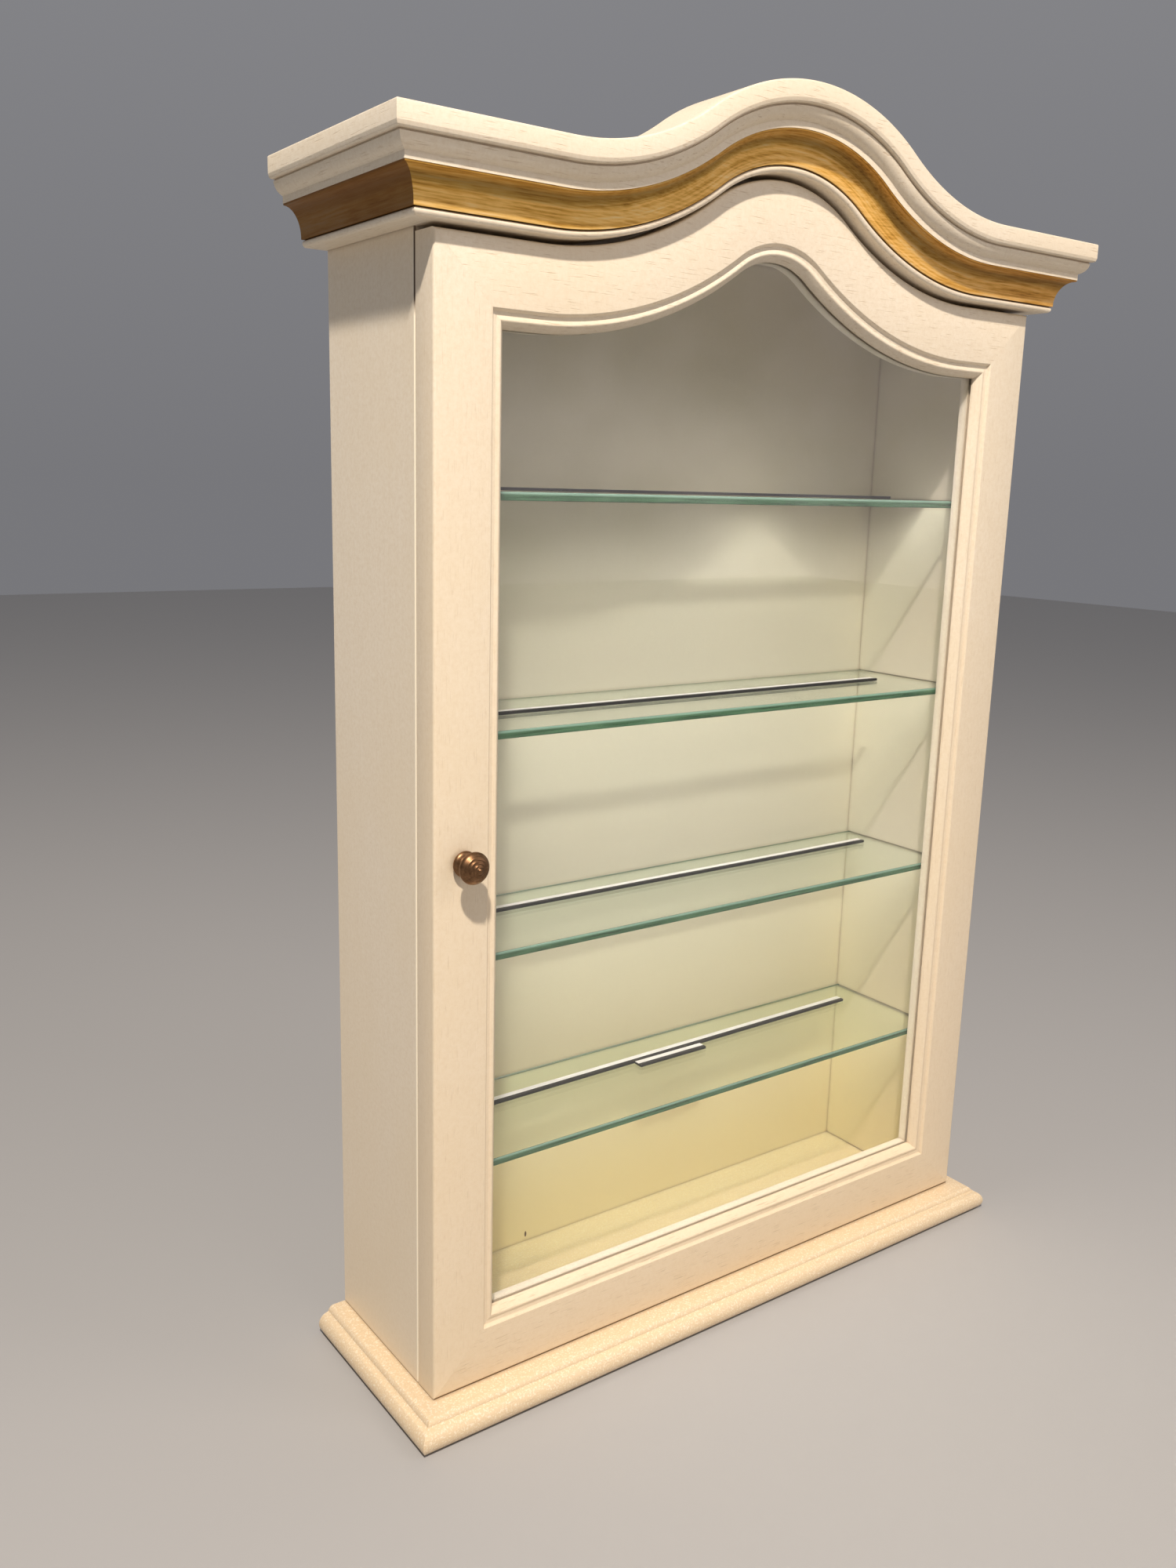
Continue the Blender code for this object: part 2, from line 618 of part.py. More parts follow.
def hinge(name, middle, side_wood, stile):
    """A butt hinge: one knuckle on the door's leaf between two on the cabinet's, and a loose pin with ball tips."""
    bottom = middle - HINGE_LENGTH / 2
    top = middle + HINGE_LENGTH / 2
    third = HINGE_LENGTH / 3
    cabinet_knuckles = [(bottom, bottom + third), (top - third, top)]
    door_knuckles = [(bottom + third + KNUCKLE_GAP, top - third - KNUCKLE_GAP)]
    leaves = (
        ("cabinet", cabinet_knuckles, CARCASS_FRONT_Y, -1, side_wood),
        ("door", door_knuckles, DOOR_BACK_Y, 1, stile),
    )
    for kind, knuckles, face, outward, wood in leaves:
        front, back = sorted((face, face - outward * LEAF_THICKNESS))
        leaf = hinge_leaf(f"hinge_{name}_{kind}_leaf", bottom, knuckles, front, back)
        low_y, high_y = sorted((face + outward * MM, face - outward * (LEAF_THICKNESS + GAP)))
        low = (HALF_WIDTH - LEAF_REACH - GAP, low_y, bottom - GAP)
        high = (HALF_WIDTH + 5 * MM, high_y, top + GAP)
        combine(wood, f"hinge_{name}_{kind}_mortise", box_mesh(low, high))
        screws = {
            f"hinge_{name}_{kind}_screw_top": (LEAF_SCREW_X, face, middle + LEAF_SCREW_SPREAD),
            f"hinge_{name}_{kind}_screw_bottom": (LEAF_SCREW_X, face, middle - LEAF_SCREW_SPREAD),
        }
        wood_screws(screws, (0, outward, 0), (leaf, wood))
    hinge_pin(f"hinge_{name}_pin", bottom, top)


def hinge_pin(name, bottom, top):
    ball = 2.2 * MM
    shoulder = GAP
    upper = [(x * MM, top + shoulder + z * MM) for x, z in ((0, 4.2), (1.4, 3.7), (2.1, 2.4), (1.6, 1.0))]
    lower = [(x, bottom + top - z) for x, z in reversed(upper)]
    collar = [(ball, top + shoulder + 0.5 * MM), (ball, top + shoulder)]
    low_collar = [(x, bottom + top - z) for x, z in reversed(collar)]
    shank = [(HINGE_PIN_RADIUS, top + shoulder), (HINGE_PIN_RADIUS, bottom - shoulder)]
    profile = upper + collar + shank + low_collar + lower
    matrix = Matrix.Translation((HINGE_AXIS_X, HINGE_AXIS_Y, 0))
    part = add_part(name, turned(profile, TURNED_STEPS, matrix), BRASS)
    smooth(part)


def knob(stile):
    """A turned knob with a stepped dome, a waist and a collar, and the machine screw that holds it."""
    tip = [(0, 22.0), (1.4, 21.8), (2.3, 21.1), (2.5, 20.4)]
    steps = [(4.4, 20.1), (5.1, 19.6), (5.4, 18.9), (7.4, 18.1)]
    head = arc((0, 14.0), (9.5, 4.6), 36, -62, 6)
    waist = [(4.3, 8.9), (3.9, 8.0), (4.4, 7.2)]
    collar = arc((0, 3.8), (7.9, 3.2), 50, -55, 4)
    profile = [(r * MM, h * MM) for r, h in tip + steps + head + waist + collar]
    profile += [(6.0 * MM, GAP), (KNOB_BORE, GAP), (KNOB_BORE, KNOB_BORE_DEPTH), (0, KNOB_BORE_DEPTH)]
    matrix = pointing((0, -1, 0), (KNOB_X, DOOR_FACE_Y, KNOB_Z))
    part = add_part("knob", turned(profile, 24, matrix), BRASS)
    smooth(part)
    recess = 4 * MM
    tip_height = KNOB_BORE_DEPTH - 2 * MM
    head_top = -(DOOR_THICKNESS - recess)
    screw = [
        (0, tip_height),
        (KNOB_SCREW_RADIUS, tip_height - 0.8 * MM),
        (KNOB_SCREW_RADIUS, head_top - GAP),
        (KNOB_SCREW_HEAD, head_top - GAP),
        (KNOB_SCREW_HEAD, head_top - 2 * MM),
        (KNOB_SCREW_HEAD - MM, head_top - 2.8 * MM),
        (0, head_top - 2.8 * MM),
    ]
    part = add_part("knob_screw", turned(screw, 12, matrix), STEEL)
    smooth(part)
    hole = [
        (0, MM),
        (KNOB_BORE, MM),
        (KNOB_BORE, head_top),
        (KNOB_SCREW_HEAD + 2 * GAP, head_top),
        (KNOB_SCREW_HEAD + 2 * GAP, -DOOR_THICKNESS - MM),
        (0, -DOOR_THICKNESS - MM),
    ]
    combine(stile, "knob_hole", turned(hole, 12, matrix))


def magnetic_catch(side_wood, stile):
    """A magnet block on the left side panel and a steel strike plate on the back of the stile."""
    inner = -HALF_WIDTH + SIDE_THICKNESS + GAP
    front = CARCASS_FRONT_Y + STRIKE_THICKNESS + GAP
    low = Vector((inner, front, CATCH_Z - CATCH_SIZE.z / 2))
    magnet = add_part("catch_magnet", box_mesh(low, low + CATCH_SIZE, 0.8 * MM), PLASTIC)
    centre = low + CATCH_SIZE / 2
    head = (inner + CATCH_SIZE.x, centre.y, CATCH_Z)
    wood_screws({"catch_screw": head}, (1, 0, 0), (magnet, side_wood), length=20 * MM)
    low = (inner + GAP, DOOR_BACK_Y + GAP, CATCH_Z - STRIKE_HEIGHT / 2)
    high = (inner + STRIKE_WIDTH, DOOR_BACK_Y + GAP + STRIKE_THICKNESS, CATCH_Z + STRIKE_HEIGHT / 2)
    strike = add_part("catch_strike", box_mesh(low, high, 0.3 * MM), STEEL)
    at = (inner + STRIKE_WIDTH / 2, high[1], CATCH_Z - 8 * MM)
    wood_screws({"strike_screw": at}, (0, 1, 0), (strike, stile))


def hanging_plates(back, top):
    """Flat plates let into the back panel, each with a hole above the top for a wall screw."""
    for name, side in (("left", -1), ("right", 1)):
        middle = side * HANGER_X
        half = HANGER_WIDTH / 2
        round_centre = (middle, HANGER_TOP - half)
        outline = [(middle - half, HANGER_BOTTOM), (middle + half, HANGER_BOTTOM)]
        outline += arc(round_centre, half, 0, 180, 10)
        mesh = extruded(outline, WALL_Y - HANGER_THICKNESS, WALL_Y, "front")
        plate = add_part(f"hanging_plate_{name}", mesh, STEEL)
        bore = [(0, 5 * MM), (HANGER_HOLE_RADIUS, 5 * MM), (HANGER_HOLE_RADIUS, -5 * MM), (0, -5 * MM)]
        matrix = pointing((0, 1, 0), (middle, WALL_Y, HANGER_TOP - half))
        combine(plate, f"hanging_plate_{name}_hole", turned(bore, TURNED_STEPS, matrix))
        low = (middle - half - GAP, WALL_Y - HANGER_THICKNESS - GAP, HANGER_BOTTOM - GAP)
        high = (middle + half + GAP, WALL_Y + MM, CARCASS_TOP + MM)
        combine(back, f"hanging_plate_{name}_recess", box_mesh(low, high))
        screws = {
            f"hanging_screw_{name}_inner": (middle - side * 4.5 * MM, WALL_Y, CARCASS_TOP - 9 * MM),
            f"hanging_screw_{name}_outer": (middle + side * 4.5 * MM, WALL_Y, CARCASS_TOP - 9 * MM),
        }
        wood_screws(screws, (0, 1, 0), (plate, back, top), length=18 * MM)


# ---------------------------------------------------------------- assembly

base_board()
left_side = side_panel("side_panel_left", -1)
right_side = side_panel("side_panel_right", 1)
back_board = back_panel()
top_board = top_panel()
head_rail()
cornice()
shelves()
shelf_strips()
door_stiles = door_frame()
door_glass()
glazing_beads()
for hinge_name, hinge_height in HINGE_HEIGHTS.items():
    hinge(hinge_name, hinge_height, right_side, door_stiles["right"])
knob(door_stiles["left"])
magnetic_catch(left_side, door_stiles["left"])
hanging_plates(back_board, top_board)
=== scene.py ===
"""The finished look of a wall curio cabinet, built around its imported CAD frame. Metres, +Z up."""

import json
import math

import bmesh
import bpy
from mathutils import Matrix, Vector


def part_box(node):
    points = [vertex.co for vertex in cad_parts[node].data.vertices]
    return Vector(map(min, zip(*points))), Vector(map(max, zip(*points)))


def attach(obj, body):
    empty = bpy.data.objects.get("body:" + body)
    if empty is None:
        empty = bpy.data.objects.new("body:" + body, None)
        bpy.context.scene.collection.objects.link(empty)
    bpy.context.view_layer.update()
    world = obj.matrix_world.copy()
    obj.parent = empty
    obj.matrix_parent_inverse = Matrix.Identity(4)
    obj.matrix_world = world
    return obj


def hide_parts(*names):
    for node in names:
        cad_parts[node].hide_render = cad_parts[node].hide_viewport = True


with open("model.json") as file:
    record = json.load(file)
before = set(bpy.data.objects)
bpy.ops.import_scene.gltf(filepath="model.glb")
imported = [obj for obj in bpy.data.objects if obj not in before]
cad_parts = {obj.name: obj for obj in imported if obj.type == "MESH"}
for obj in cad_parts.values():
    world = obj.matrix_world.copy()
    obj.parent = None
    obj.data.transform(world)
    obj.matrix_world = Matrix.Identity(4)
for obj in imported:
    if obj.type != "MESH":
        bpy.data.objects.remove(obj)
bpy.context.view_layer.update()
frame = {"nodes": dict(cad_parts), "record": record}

MM = 0.001
JOINT_GAP = 0.01 * MM  # left open at each glued mitre
SAME_PLANE = 0.01 * MM
SAME_POINT = 0.001 * MM
TO_FRONT = (0, -1, 0)
TO_BACK = (0, 1, 0)
TO_RIGHT = (1, 0, 0)
UP = (0, 0, 1)

# ---------------------------------------------------------------- planes taken from the frame

WALL_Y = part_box("back_panel")[1][1]
side_low, side_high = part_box("side_panel_right")
HALF_WIDTH = side_high[0]
INNER_X = side_low[0]
CARCASS_FRONT_Y = side_low[1]
CARCASS_TOP = side_high[2]
stile_low, stile_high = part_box("door_stile_left")
DOOR_FACE_Y = stile_low[1]
DOOR_BACK_Y = stile_high[1]
DOOR_BOTTOM = stile_low[2]
DOOR_TOP = stile_high[2]
BASE_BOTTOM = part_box("base_board")[0][2]
BASE_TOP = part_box("base_board")[1][2]
CORNICE_CORNER_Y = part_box("cornice_crown_front")[0][1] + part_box("cornice_crown_right")[1][0] - HALF_WIDTH

BODY_OF = {node: body for body, nodes in frame["record"]["behaviour"]["bodies"].items() for node in nodes}

# Painted highlight and shade along the side panels' front edges, and a mark of use
CORNICE_SHADOW_LINE = 662 * MM  # the cornice's shadow on the sides ends here; the front edges below it get a painted highlight
CORNICE_SHADOW_FADE = 8 * MM
ARRIS_HIGHLIGHT_WIDTH = 1.3 * MM
ARRIS_HIGHLIGHT_STRENGTH = 0.6
SHADED_JOINT_WIDTH = 0.9 * MM
BRAD_PLACE = (-96 * MM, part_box("back_panel")[0][1], 24 * MM)  # a brad left in the back panel's foot
BRAD_RADIUS = 0.9 * MM
BRAD_SQUEEZE = 0.4  # the brad's mark is taller than it is wide

# Serpentine line of the door's top edge
ARCH_HALF_SPAN = 174 * MM
ARCH_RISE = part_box("door_rail_top")[1][2] - DOOR_TOP
CREST_RADIUS = 93 * MM
HOLLOW_RADIUS = (ARCH_HALF_SPAN**2 + ARCH_RISE**2) / (2 * ARCH_RISE) - CREST_RADIUS
BEND_ANGLE = 2 * math.atan(ARCH_RISE / ARCH_HALF_SPAN)
HOLLOW_STEPS = 26
CREST_STEPS = 48

# ---------------------------------------------------------------- camera and stage

CAMERA_PLACE = Vector((-590.1, -674.7, 570.0)) * MM
CAMERA_YAW = math.radians(36.008)
CAMERA_PITCH = math.radians(-12.672)
CAMERA_ROLL = math.radians(1.491)
CAMERA_LENS = 30.48
CAMERA_SENSOR = 36

# The key stands in front, to the left and above, as the cornice's shadows on the door and on the side show.
KEY_DIRECTION = Vector((-1 / 2.2, -1 / 1.47, 1))
KEY_DISTANCE = 2.4
KEY_SIZE = (0.10, 0.10)
KEY_POWER = 90
KEY_COLOR = (1.0, 0.91, 0.815)
FILL_PLACE = (1.3, -1.7, 1.9)
FILL_AIM = (0, 0, 0.6)
FILL_SIZE = (0.9, 0.9)
FILL_POWER = 9
FILL_COLOR = (1.0, 0.90, 0.82)
ROOM_STRENGTH = 0.30
ROOM_GRADIENT = ((0.0, (0.62, 0.62, 0.66)), (0.7, (0.95, 0.95, 1.0)))
# A soft bright patch of the room, which the upper part of the door's glass mirrors
PATCH_DIRECTION = Vector((0.62, -0.76, 0.16)).normalized()
PATCH_RIM, PATCH_CORE = 0.91, 0.99  # cosines of the angles where it ends and where it is full
PATCH_COLOR = (4.2, 3.7, 3.7)
FLOOR_COLOR = (0.42, 0.41, 0.40)
FLOOR_HALF_SIZE = 6
FLOOR_DROP = 0.2 * MM


def add_object(name, data):
    thing = bpy.data.objects.new(name, data)
    bpy.context.scene.collection.objects.link(thing)
    return thing


def mesh_from(bm):
    """The finished mesh of a bmesh, which is freed."""
    mesh = bpy.data.meshes.new("mesh")
    bm.to_mesh(mesh)
    bm.free()
    return mesh


def add_camera():
    sin_yaw, cos_yaw = math.sin(CAMERA_YAW), math.cos(CAMERA_YAW)
    sin_pitch, cos_pitch = math.sin(CAMERA_PITCH), math.cos(CAMERA_PITCH)
    forward = Vector((sin_yaw * cos_pitch, cos_yaw * cos_pitch, sin_pitch))
    level = Vector((cos_yaw, -sin_yaw, 0))
    square = level.cross(forward)
    right = math.cos(CAMERA_ROLL) * level + math.sin(CAMERA_ROLL) * square
    up = math.cos(CAMERA_ROLL) * square - math.sin(CAMERA_ROLL) * level
    data = bpy.data.cameras.new("camera")
    data.sensor_width = CAMERA_SENSOR
    data.lens = CAMERA_LENS
    data.clip_start = 0.01
    camera = add_object("camera", data)
    matrix = Matrix((right, up, -forward)).transposed().to_4x4()
    matrix.translation = CAMERA_PLACE
    camera.matrix_world = matrix
    bpy.context.scene.camera = camera


def add_area_light(name, place, aim, size, power, color):
    data = bpy.data.lights.new(name, "AREA")
    data.shape = "RECTANGLE"
    data.size, data.size_y = size
    data.energy = power
    data.color = color
    lamp = add_object(name, data)
    lamp.location = place
    lamp.rotation_euler = (Vector(aim) - Vector(place)).to_track_quat("-Z", "Y").to_euler()


def add_floor():
    bm = bmesh.new()
    bmesh.ops.create_grid(bm, x_segments=1, y_segments=1, size=FLOOR_HALF_SIZE)
    floor = add_object("floor", mesh_from(bm))
    floor.location.z = -FLOOR_DROP
    floor.data.materials.append(Nodes(bpy.data.materials.new("pale_floor")).finish(FLOOR_COLOR, 0.7))


def add_room():
    """A grey room, brighter above, with one bright patch that the camera doesn't see directly."""
    world = bpy.data.worlds.new("studio")
    bpy.context.scene.world = world
    n = Nodes(world)
    background = n.tree.nodes["Background"]
    background.inputs["Strength"].default_value = ROOM_STRENGTH
    room = n.ramp(n.axes("Generated")["Z"], ROOM_GRADIENT)
    towards = n.add("ShaderNodeVectorMath", operation="DOT_PRODUCT")
    towards.inputs[1].default_value = PATCH_DIRECTION
    n.link(n.coordinates("Generated"), towards.inputs[0])
    blotches = n.remap(n.noise("Generated", 7, detail=4, roughness=0.6), 0.35, 0.65, 0.25, 1.0)
    patch = n.remap(towards.outputs["Value"], PATCH_RIM, PATCH_CORE, 0.0, 1.0)
    seen_directly = n.add("ShaderNodeLightPath").outputs["Is Camera Ray"]
    patch = n.math("MULTIPLY", patch, blotches)
    patch = n.math("MULTIPLY", patch, n.math("SUBTRACT", 1.0, seen_directly))
    n.link(n.mix(patch, room, PATCH_COLOR), background.inputs["Color"])


def add_lamps():
    target = Vector((-HALF_WIDTH, DOOR_FACE_Y, DOOR_TOP))
    key_place = target + KEY_DIRECTION.normalized() * KEY_DISTANCE
    add_area_light("key", key_place, target, KEY_SIZE, KEY_POWER, KEY_COLOR)
    add_area_light("fill", FILL_PLACE, FILL_AIM, FILL_SIZE, FILL_POWER, FILL_COLOR)
    bpy.context.scene.view_settings.view_transform = "Standard"


# ---------------------------------------------------------------- material helpers


class Nodes:
    """A short way to build the node tree of a material or of the world."""

    def __init__(self, owner):
        owner.use_nodes = True
        self.owner = owner
        self.tree = owner.node_tree

    def add(self, kind, **settings):
        node = self.tree.nodes.new(kind)
        for key, value in settings.items():
            setattr(node, key, value)
        return node

    def link(self, source, target):
        self.tree.links.new(source, target)

    def feed(self, value, socket):
        """Gives a socket a number, a colour, or another node's output."""
        if isinstance(value, (int, float)):
            socket.default_value = value
        elif isinstance(value, tuple):
            socket.default_value = (*value, 1)
        else:
            self.link(value, socket)

    def coordinates(self, source, scale=(1, 1, 1)):
        """Texture coordinates times scale. The source is Object or UV, both in metres, or Generated."""
        place = self.add("ShaderNodeTexCoord")
        mapping = self.add("ShaderNodeMapping")
        mapping.inputs["Scale"].default_value = scale
        self.link(place.outputs[source], mapping.inputs["Vector"])
        return mapping.outputs["Vector"]

    def axes(self, source):
        """Texture coordinates as separate X, Y and Z."""
        node = self.add("ShaderNodeSeparateXYZ")
        self.link(self.coordinates(source), node.inputs[0])
        return node.outputs

    def noise(self, source, scale, detail=4, roughness=0.55, distortion=0.0):
        """Noise with this many features in each unit of the coordinates: one number, or one for each axis."""
        texture = self.add("ShaderNodeTexNoise")
        texture.inputs["Scale"].default_value = 1
        texture.inputs["Detail"].default_value = detail
        texture.inputs["Roughness"].default_value = roughness
        texture.inputs["Distortion"].default_value = distortion
        each_axis = scale if isinstance(scale, tuple) else (scale, scale, scale)
        self.link(self.coordinates(source, each_axis), texture.inputs["Vector"])
        return texture.outputs["Fac"]

    def ramp(self, value, stops):
        node = self.add("ShaderNodeValToRGB")
        elements = node.color_ramp.elements
        while len(elements) < len(stops):
            elements.new(0.5)
        for element, (position, color) in zip(elements, stops):
            element.position = position
            element.color = (*color, 1)
        self.link(value, node.inputs["Fac"])
        return node.outputs["Color"]

    def remap(self, value, low, high, to_low, to_high):
        node = self.add("ShaderNodeMapRange")
        for key, number in zip(("From Min", "From Max", "To Min", "To Max"), (low, high, to_low, to_high)):
            node.inputs[key].default_value = number
        self.link(value, node.inputs["Value"])
        return node.outputs["Result"]

    def math(self, operation, first, second=0):
        node = self.add("ShaderNodeMath", operation=operation)
        self.feed(first, node.inputs[0])
        self.feed(second, node.inputs[1])
        return node.outputs[0]

    def mix(self, factor, first, second, blend="MIX"):
        node = self.add("ShaderNodeMix", data_type="RGBA", blend_type=blend)
        self.feed(factor, node.inputs[0])
        self.feed(first, node.inputs[6])
        self.feed(second, node.inputs[7])
        return node.outputs[2]

    def occlusion(self, distance):
        node = self.add("ShaderNodeAmbientOcclusion", samples=6)
        node.inputs["Distance"].default_value = distance
        return node.outputs["AO"]

    def bump(self, height, distance, strength=1.0, under=None):
        node = self.add("ShaderNodeBump")
        node.inputs["Distance"].default_value = distance
        node.inputs["Strength"].default_value = strength
        self.link(height, node.inputs["Height"])
        if under is not None:
            self.link(under, node.inputs["Normal"])
        return node.outputs["Normal"]

    def finish(self, color, roughness, normal=None, **fixed):
        shader = self.tree.nodes["Principled BSDF"]
        self.feed(color, shader.inputs["Base Color"])
        self.feed(roughness, shader.inputs["Roughness"])
        if normal is not None:
            self.link(normal, shader.inputs["Normal"])
        for socket, value in fixed.items():
            shader.inputs[socket.replace("_", " ")].default_value = value
        return self.owner


# ---------------------------------------------------------------- materials

# Colours are linear RGB. A list holds the stops of a colour ramp.
CREAM_MOTTLE = [(0.30, (0.81, 0.70, 0.545)), (0.52, (0.865, 0.77, 0.62)), (0.75, (0.905, 0.82, 0.69))]
CREAM_STROKE = (0.72, 0.58, 0.40)
CREAM_PATCH = (0.83, 0.69, 0.47)
CREAM_YELLOWED_SHADED = (0.74, 0.555, 0.33)
CREAM_SPECKLE = (0.95, 0.88, 0.74)
CREAM_ARRIS_HIGHLIGHT = (1.0, 0.93, 0.74)
INSIDE_SHADE_TONE = (0.72, 0.66, 0.50)
INSIDE_FOOT_SHADE = (0.74, 0.63, 0.30)
PORE_BROWN = (0.56, 0.42, 0.27)
CREVICE_SHADE_BROWN = (0.36, 0.24, 0.13)
SHADED_JOINT_BROWN = (0.10, 0.07, 0.05)
BRAD_BROWN = (0.12, 0.07, 0.03)
GOLD_STREAKS = [
    (0.36, (0.38, 0.18, 0.022)),
    (0.44, (0.74, 0.42, 0.075)),
    (0.52, (1.0, 0.64, 0.19)),
    (0.64, (1.0, 0.80, 0.44)),
]
GOLD_SHEEN_BAND = [  # painted reflection and shade of the gold's sheen, from the cove's foot to its top
    (0.00, (0.80, 0.84, 1.0)),
    (0.12, (1.0, 1.0, 0.92)),
    (0.40, (1.0, 1.0, 0.92)),
    (0.50, (0.42, 0.40, 0.20)),
    (0.62, (0.28, 0.25, 0.10)),
    (0.75, (0.66, 0.58, 0.36)),
    (0.92, (0.48, 0.42, 0.26)),
]
GOLD_BAND_LENGTH = 26 * MM  # the band's stops are shares of this length, up the cove
GOLD_BROWNER = (0.84, 0.72, 0.66)
GOLD_SHADE_BROWN = (0.175, 0.064, 0.006)
GOLD_CREVICE_SHADE = (0.10, 0.05, 0.010)
BRASS_TARNISH = [(0.35, (0.09, 0.045, 0.022)), (0.55, (0.23, 0.125, 0.062)), (0.75, (0.44, 0.27, 0.15))]
BRASS_CREVICE = (0.05, 0.03, 0.015)
ZINC_SPANGLE = [(0.3, (0.36, 0.37, 0.37)), (0.7, (0.62, 0.62, 0.60))]
EDGE_GREEN = [(0.35, (0.04, 0.12, 0.05)), (0.65, (0.11, 0.26, 0.13))]
EDGE_LIT = (0.42, 0.66, 0.52)
PLASTIC_MOTTLE = [(0.35, (0.20, 0.11, 0.05)), (0.65, (0.27, 0.155, 0.075))]


def stretched(direction, along, across):
    """A texture scale, in features per metre, that is coarser along one axis."""
    return tuple(along if axis == direction else across for axis in "XYZ")


def front_edge_light_and_shade(n, place, color):
    """A side panel's front edge gets a painted highlight, and above it, in the cornice's shadow, painted
    shade.
    """
    from_edge = n.math("ABSOLUTE", n.math("SUBTRACT", place["Y"], CARCASS_FRONT_Y))
    outside = n.math("GREATER_THAN", n.math("ABSOLUTE", place["X"]), HALF_WIDTH - MM)
    in_cornice_shadow = n.remap(place["Z"], CORNICE_SHADOW_LINE - CORNICE_SHADOW_FADE, CORNICE_SHADOW_LINE, 0.0, 1.0)
    arris_highlight = n.math("MULTIPLY", n.math("LESS_THAN", from_edge, ARRIS_HIGHLIGHT_WIDTH), outside)
    arris_highlight = n.math("MULTIPLY", arris_highlight, n.math("SUBTRACT", ARRIS_HIGHLIGHT_STRENGTH, in_cornice_shadow))
    # painted highlight on the lit front arris, below the cornice's shadow
    color = n.mix(arris_highlight, color, CREAM_ARRIS_HIGHLIGHT)
    # painted shade in the joint, inside the cornice's shadow
    shaded_joint = n.math("MULTIPLY", n.math("LESS_THAN", from_edge, SHADED_JOINT_WIDTH), outside)
    return n.mix(n.math("MULTIPLY", shaded_joint, in_cornice_shadow), color, SHADED_JOINT_BROWN)


def inside_shade_and_brad(n, place, color, inside_shade):
    """Inside the carcass painted shade darkens the paint, yellower towards its floor. A brad marks the back
    panel.
    """
    inside = n.math("LESS_THAN", n.math("ABSOLUTE", place["X"]), INNER_X + 0.5 * MM)
    behind = n.math("GREATER_THAN", place["Y"], CARCASS_FRONT_Y)
    inside = n.math("MULTIPLY", inside, behind)
    low_down = n.remap(place["Z"], 0.05, 0.30, 0.90, 0.0)
    # painted shade inside the carcass, yellower lower down
    color = n.mix(n.math("MULTIPLY", inside, inside_shade), color, n.mix(low_down, INSIDE_SHADE_TONE, INSIDE_FOOT_SHADE))
    from_brad = n.add("ShaderNodeVectorMath", operation="DISTANCE")
    n.link(n.coordinates("Object", (1, 1, BRAD_SQUEEZE)), from_brad.inputs[0])
    from_brad.inputs[1].default_value = (BRAD_PLACE[0], BRAD_PLACE[1], BRAD_PLACE[2] * BRAD_SQUEEZE)
    return n.mix(n.math("LESS_THAN", from_brad.outputs["Value"], BRAD_RADIUS), color, BRAD_BROWN)


def cream_paint(name, direction, pores, extra_yellowing=0.0, speckle=0.0, inside_shade=0.0, edge_light_and_shade=False):
    """Satin cream paint over wood whose pores show as short sunken dashes. Lower down it is yellower and
    darker: partly yellowed paint, partly painted shade. Extra yellowing, negative for less, goes all over."""
    n = Nodes(bpy.data.materials.new(name))
    place = n.axes("Object")
    mottle = n.noise("Object", 420, detail=5, roughness=0.7)
    broad = n.noise("Object", (9, 9, 6), detail=3)
    strokes = n.noise("Object", stretched(direction, 14, 330), detail=4, roughness=0.6)
    dashes = n.noise("Object", stretched(direction, 75, 1300), detail=2, roughness=0.5)
    color = n.ramp(mottle, CREAM_MOTTLE)
    color = n.mix(n.remap(strokes, 0.3, 0.7, 0.10, 0.0), color, CREAM_STROKE)
    color = n.mix(n.remap(broad, 0.40, 0.68, 0.0, 0.30), color, CREAM_PATCH)
    # lower down: partly yellowed paint, partly painted shade where less light reaches
    yellowing_and_low_shade = n.math("MAXIMUM", n.math("ADD", n.remap(place["Z"], 0.02, 0.70, 0.42, 0.0), extra_yellowing))
    color = n.mix(yellowing_and_low_shade, color, CREAM_YELLOWED_SHADED)
    speckles = n.remap(n.noise("Object", 850, detail=2), 0.52, 0.66, 0.0, speckle)
    color = n.mix(speckles, color, CREAM_SPECKLE)
    if edge_light_and_shade:
        color = front_edge_light_and_shade(n, place, color)
    if inside_shade:
        color = inside_shade_and_brad(n, place, color, inside_shade)
    pore = n.remap(dashes, 0.60, 0.72, 0.0, pores)
    color = n.mix(pore, color, PORE_BROWN)
    # painted shade: hollows and creases darken towards brown
    crevice = n.remap(n.occlusion(4 * MM), 0.25, 0.80, 0.60, 0.0)
    color = n.mix(crevice, color, CREVICE_SHADE_BROWN)
    normal = n.bump(n.math("SUBTRACT", strokes, n.math("MULTIPLY", pore, 2.0)), 0.10 * MM, 0.55)
    normal = n.bump(mottle, 0.06 * MM, 0.5, under=normal)
    roughness = n.remap(mottle, 0.3, 0.75, 0.36, 0.54)
    return n.finish(color, roughness, normal, Specular_IOR_Level=0.45)


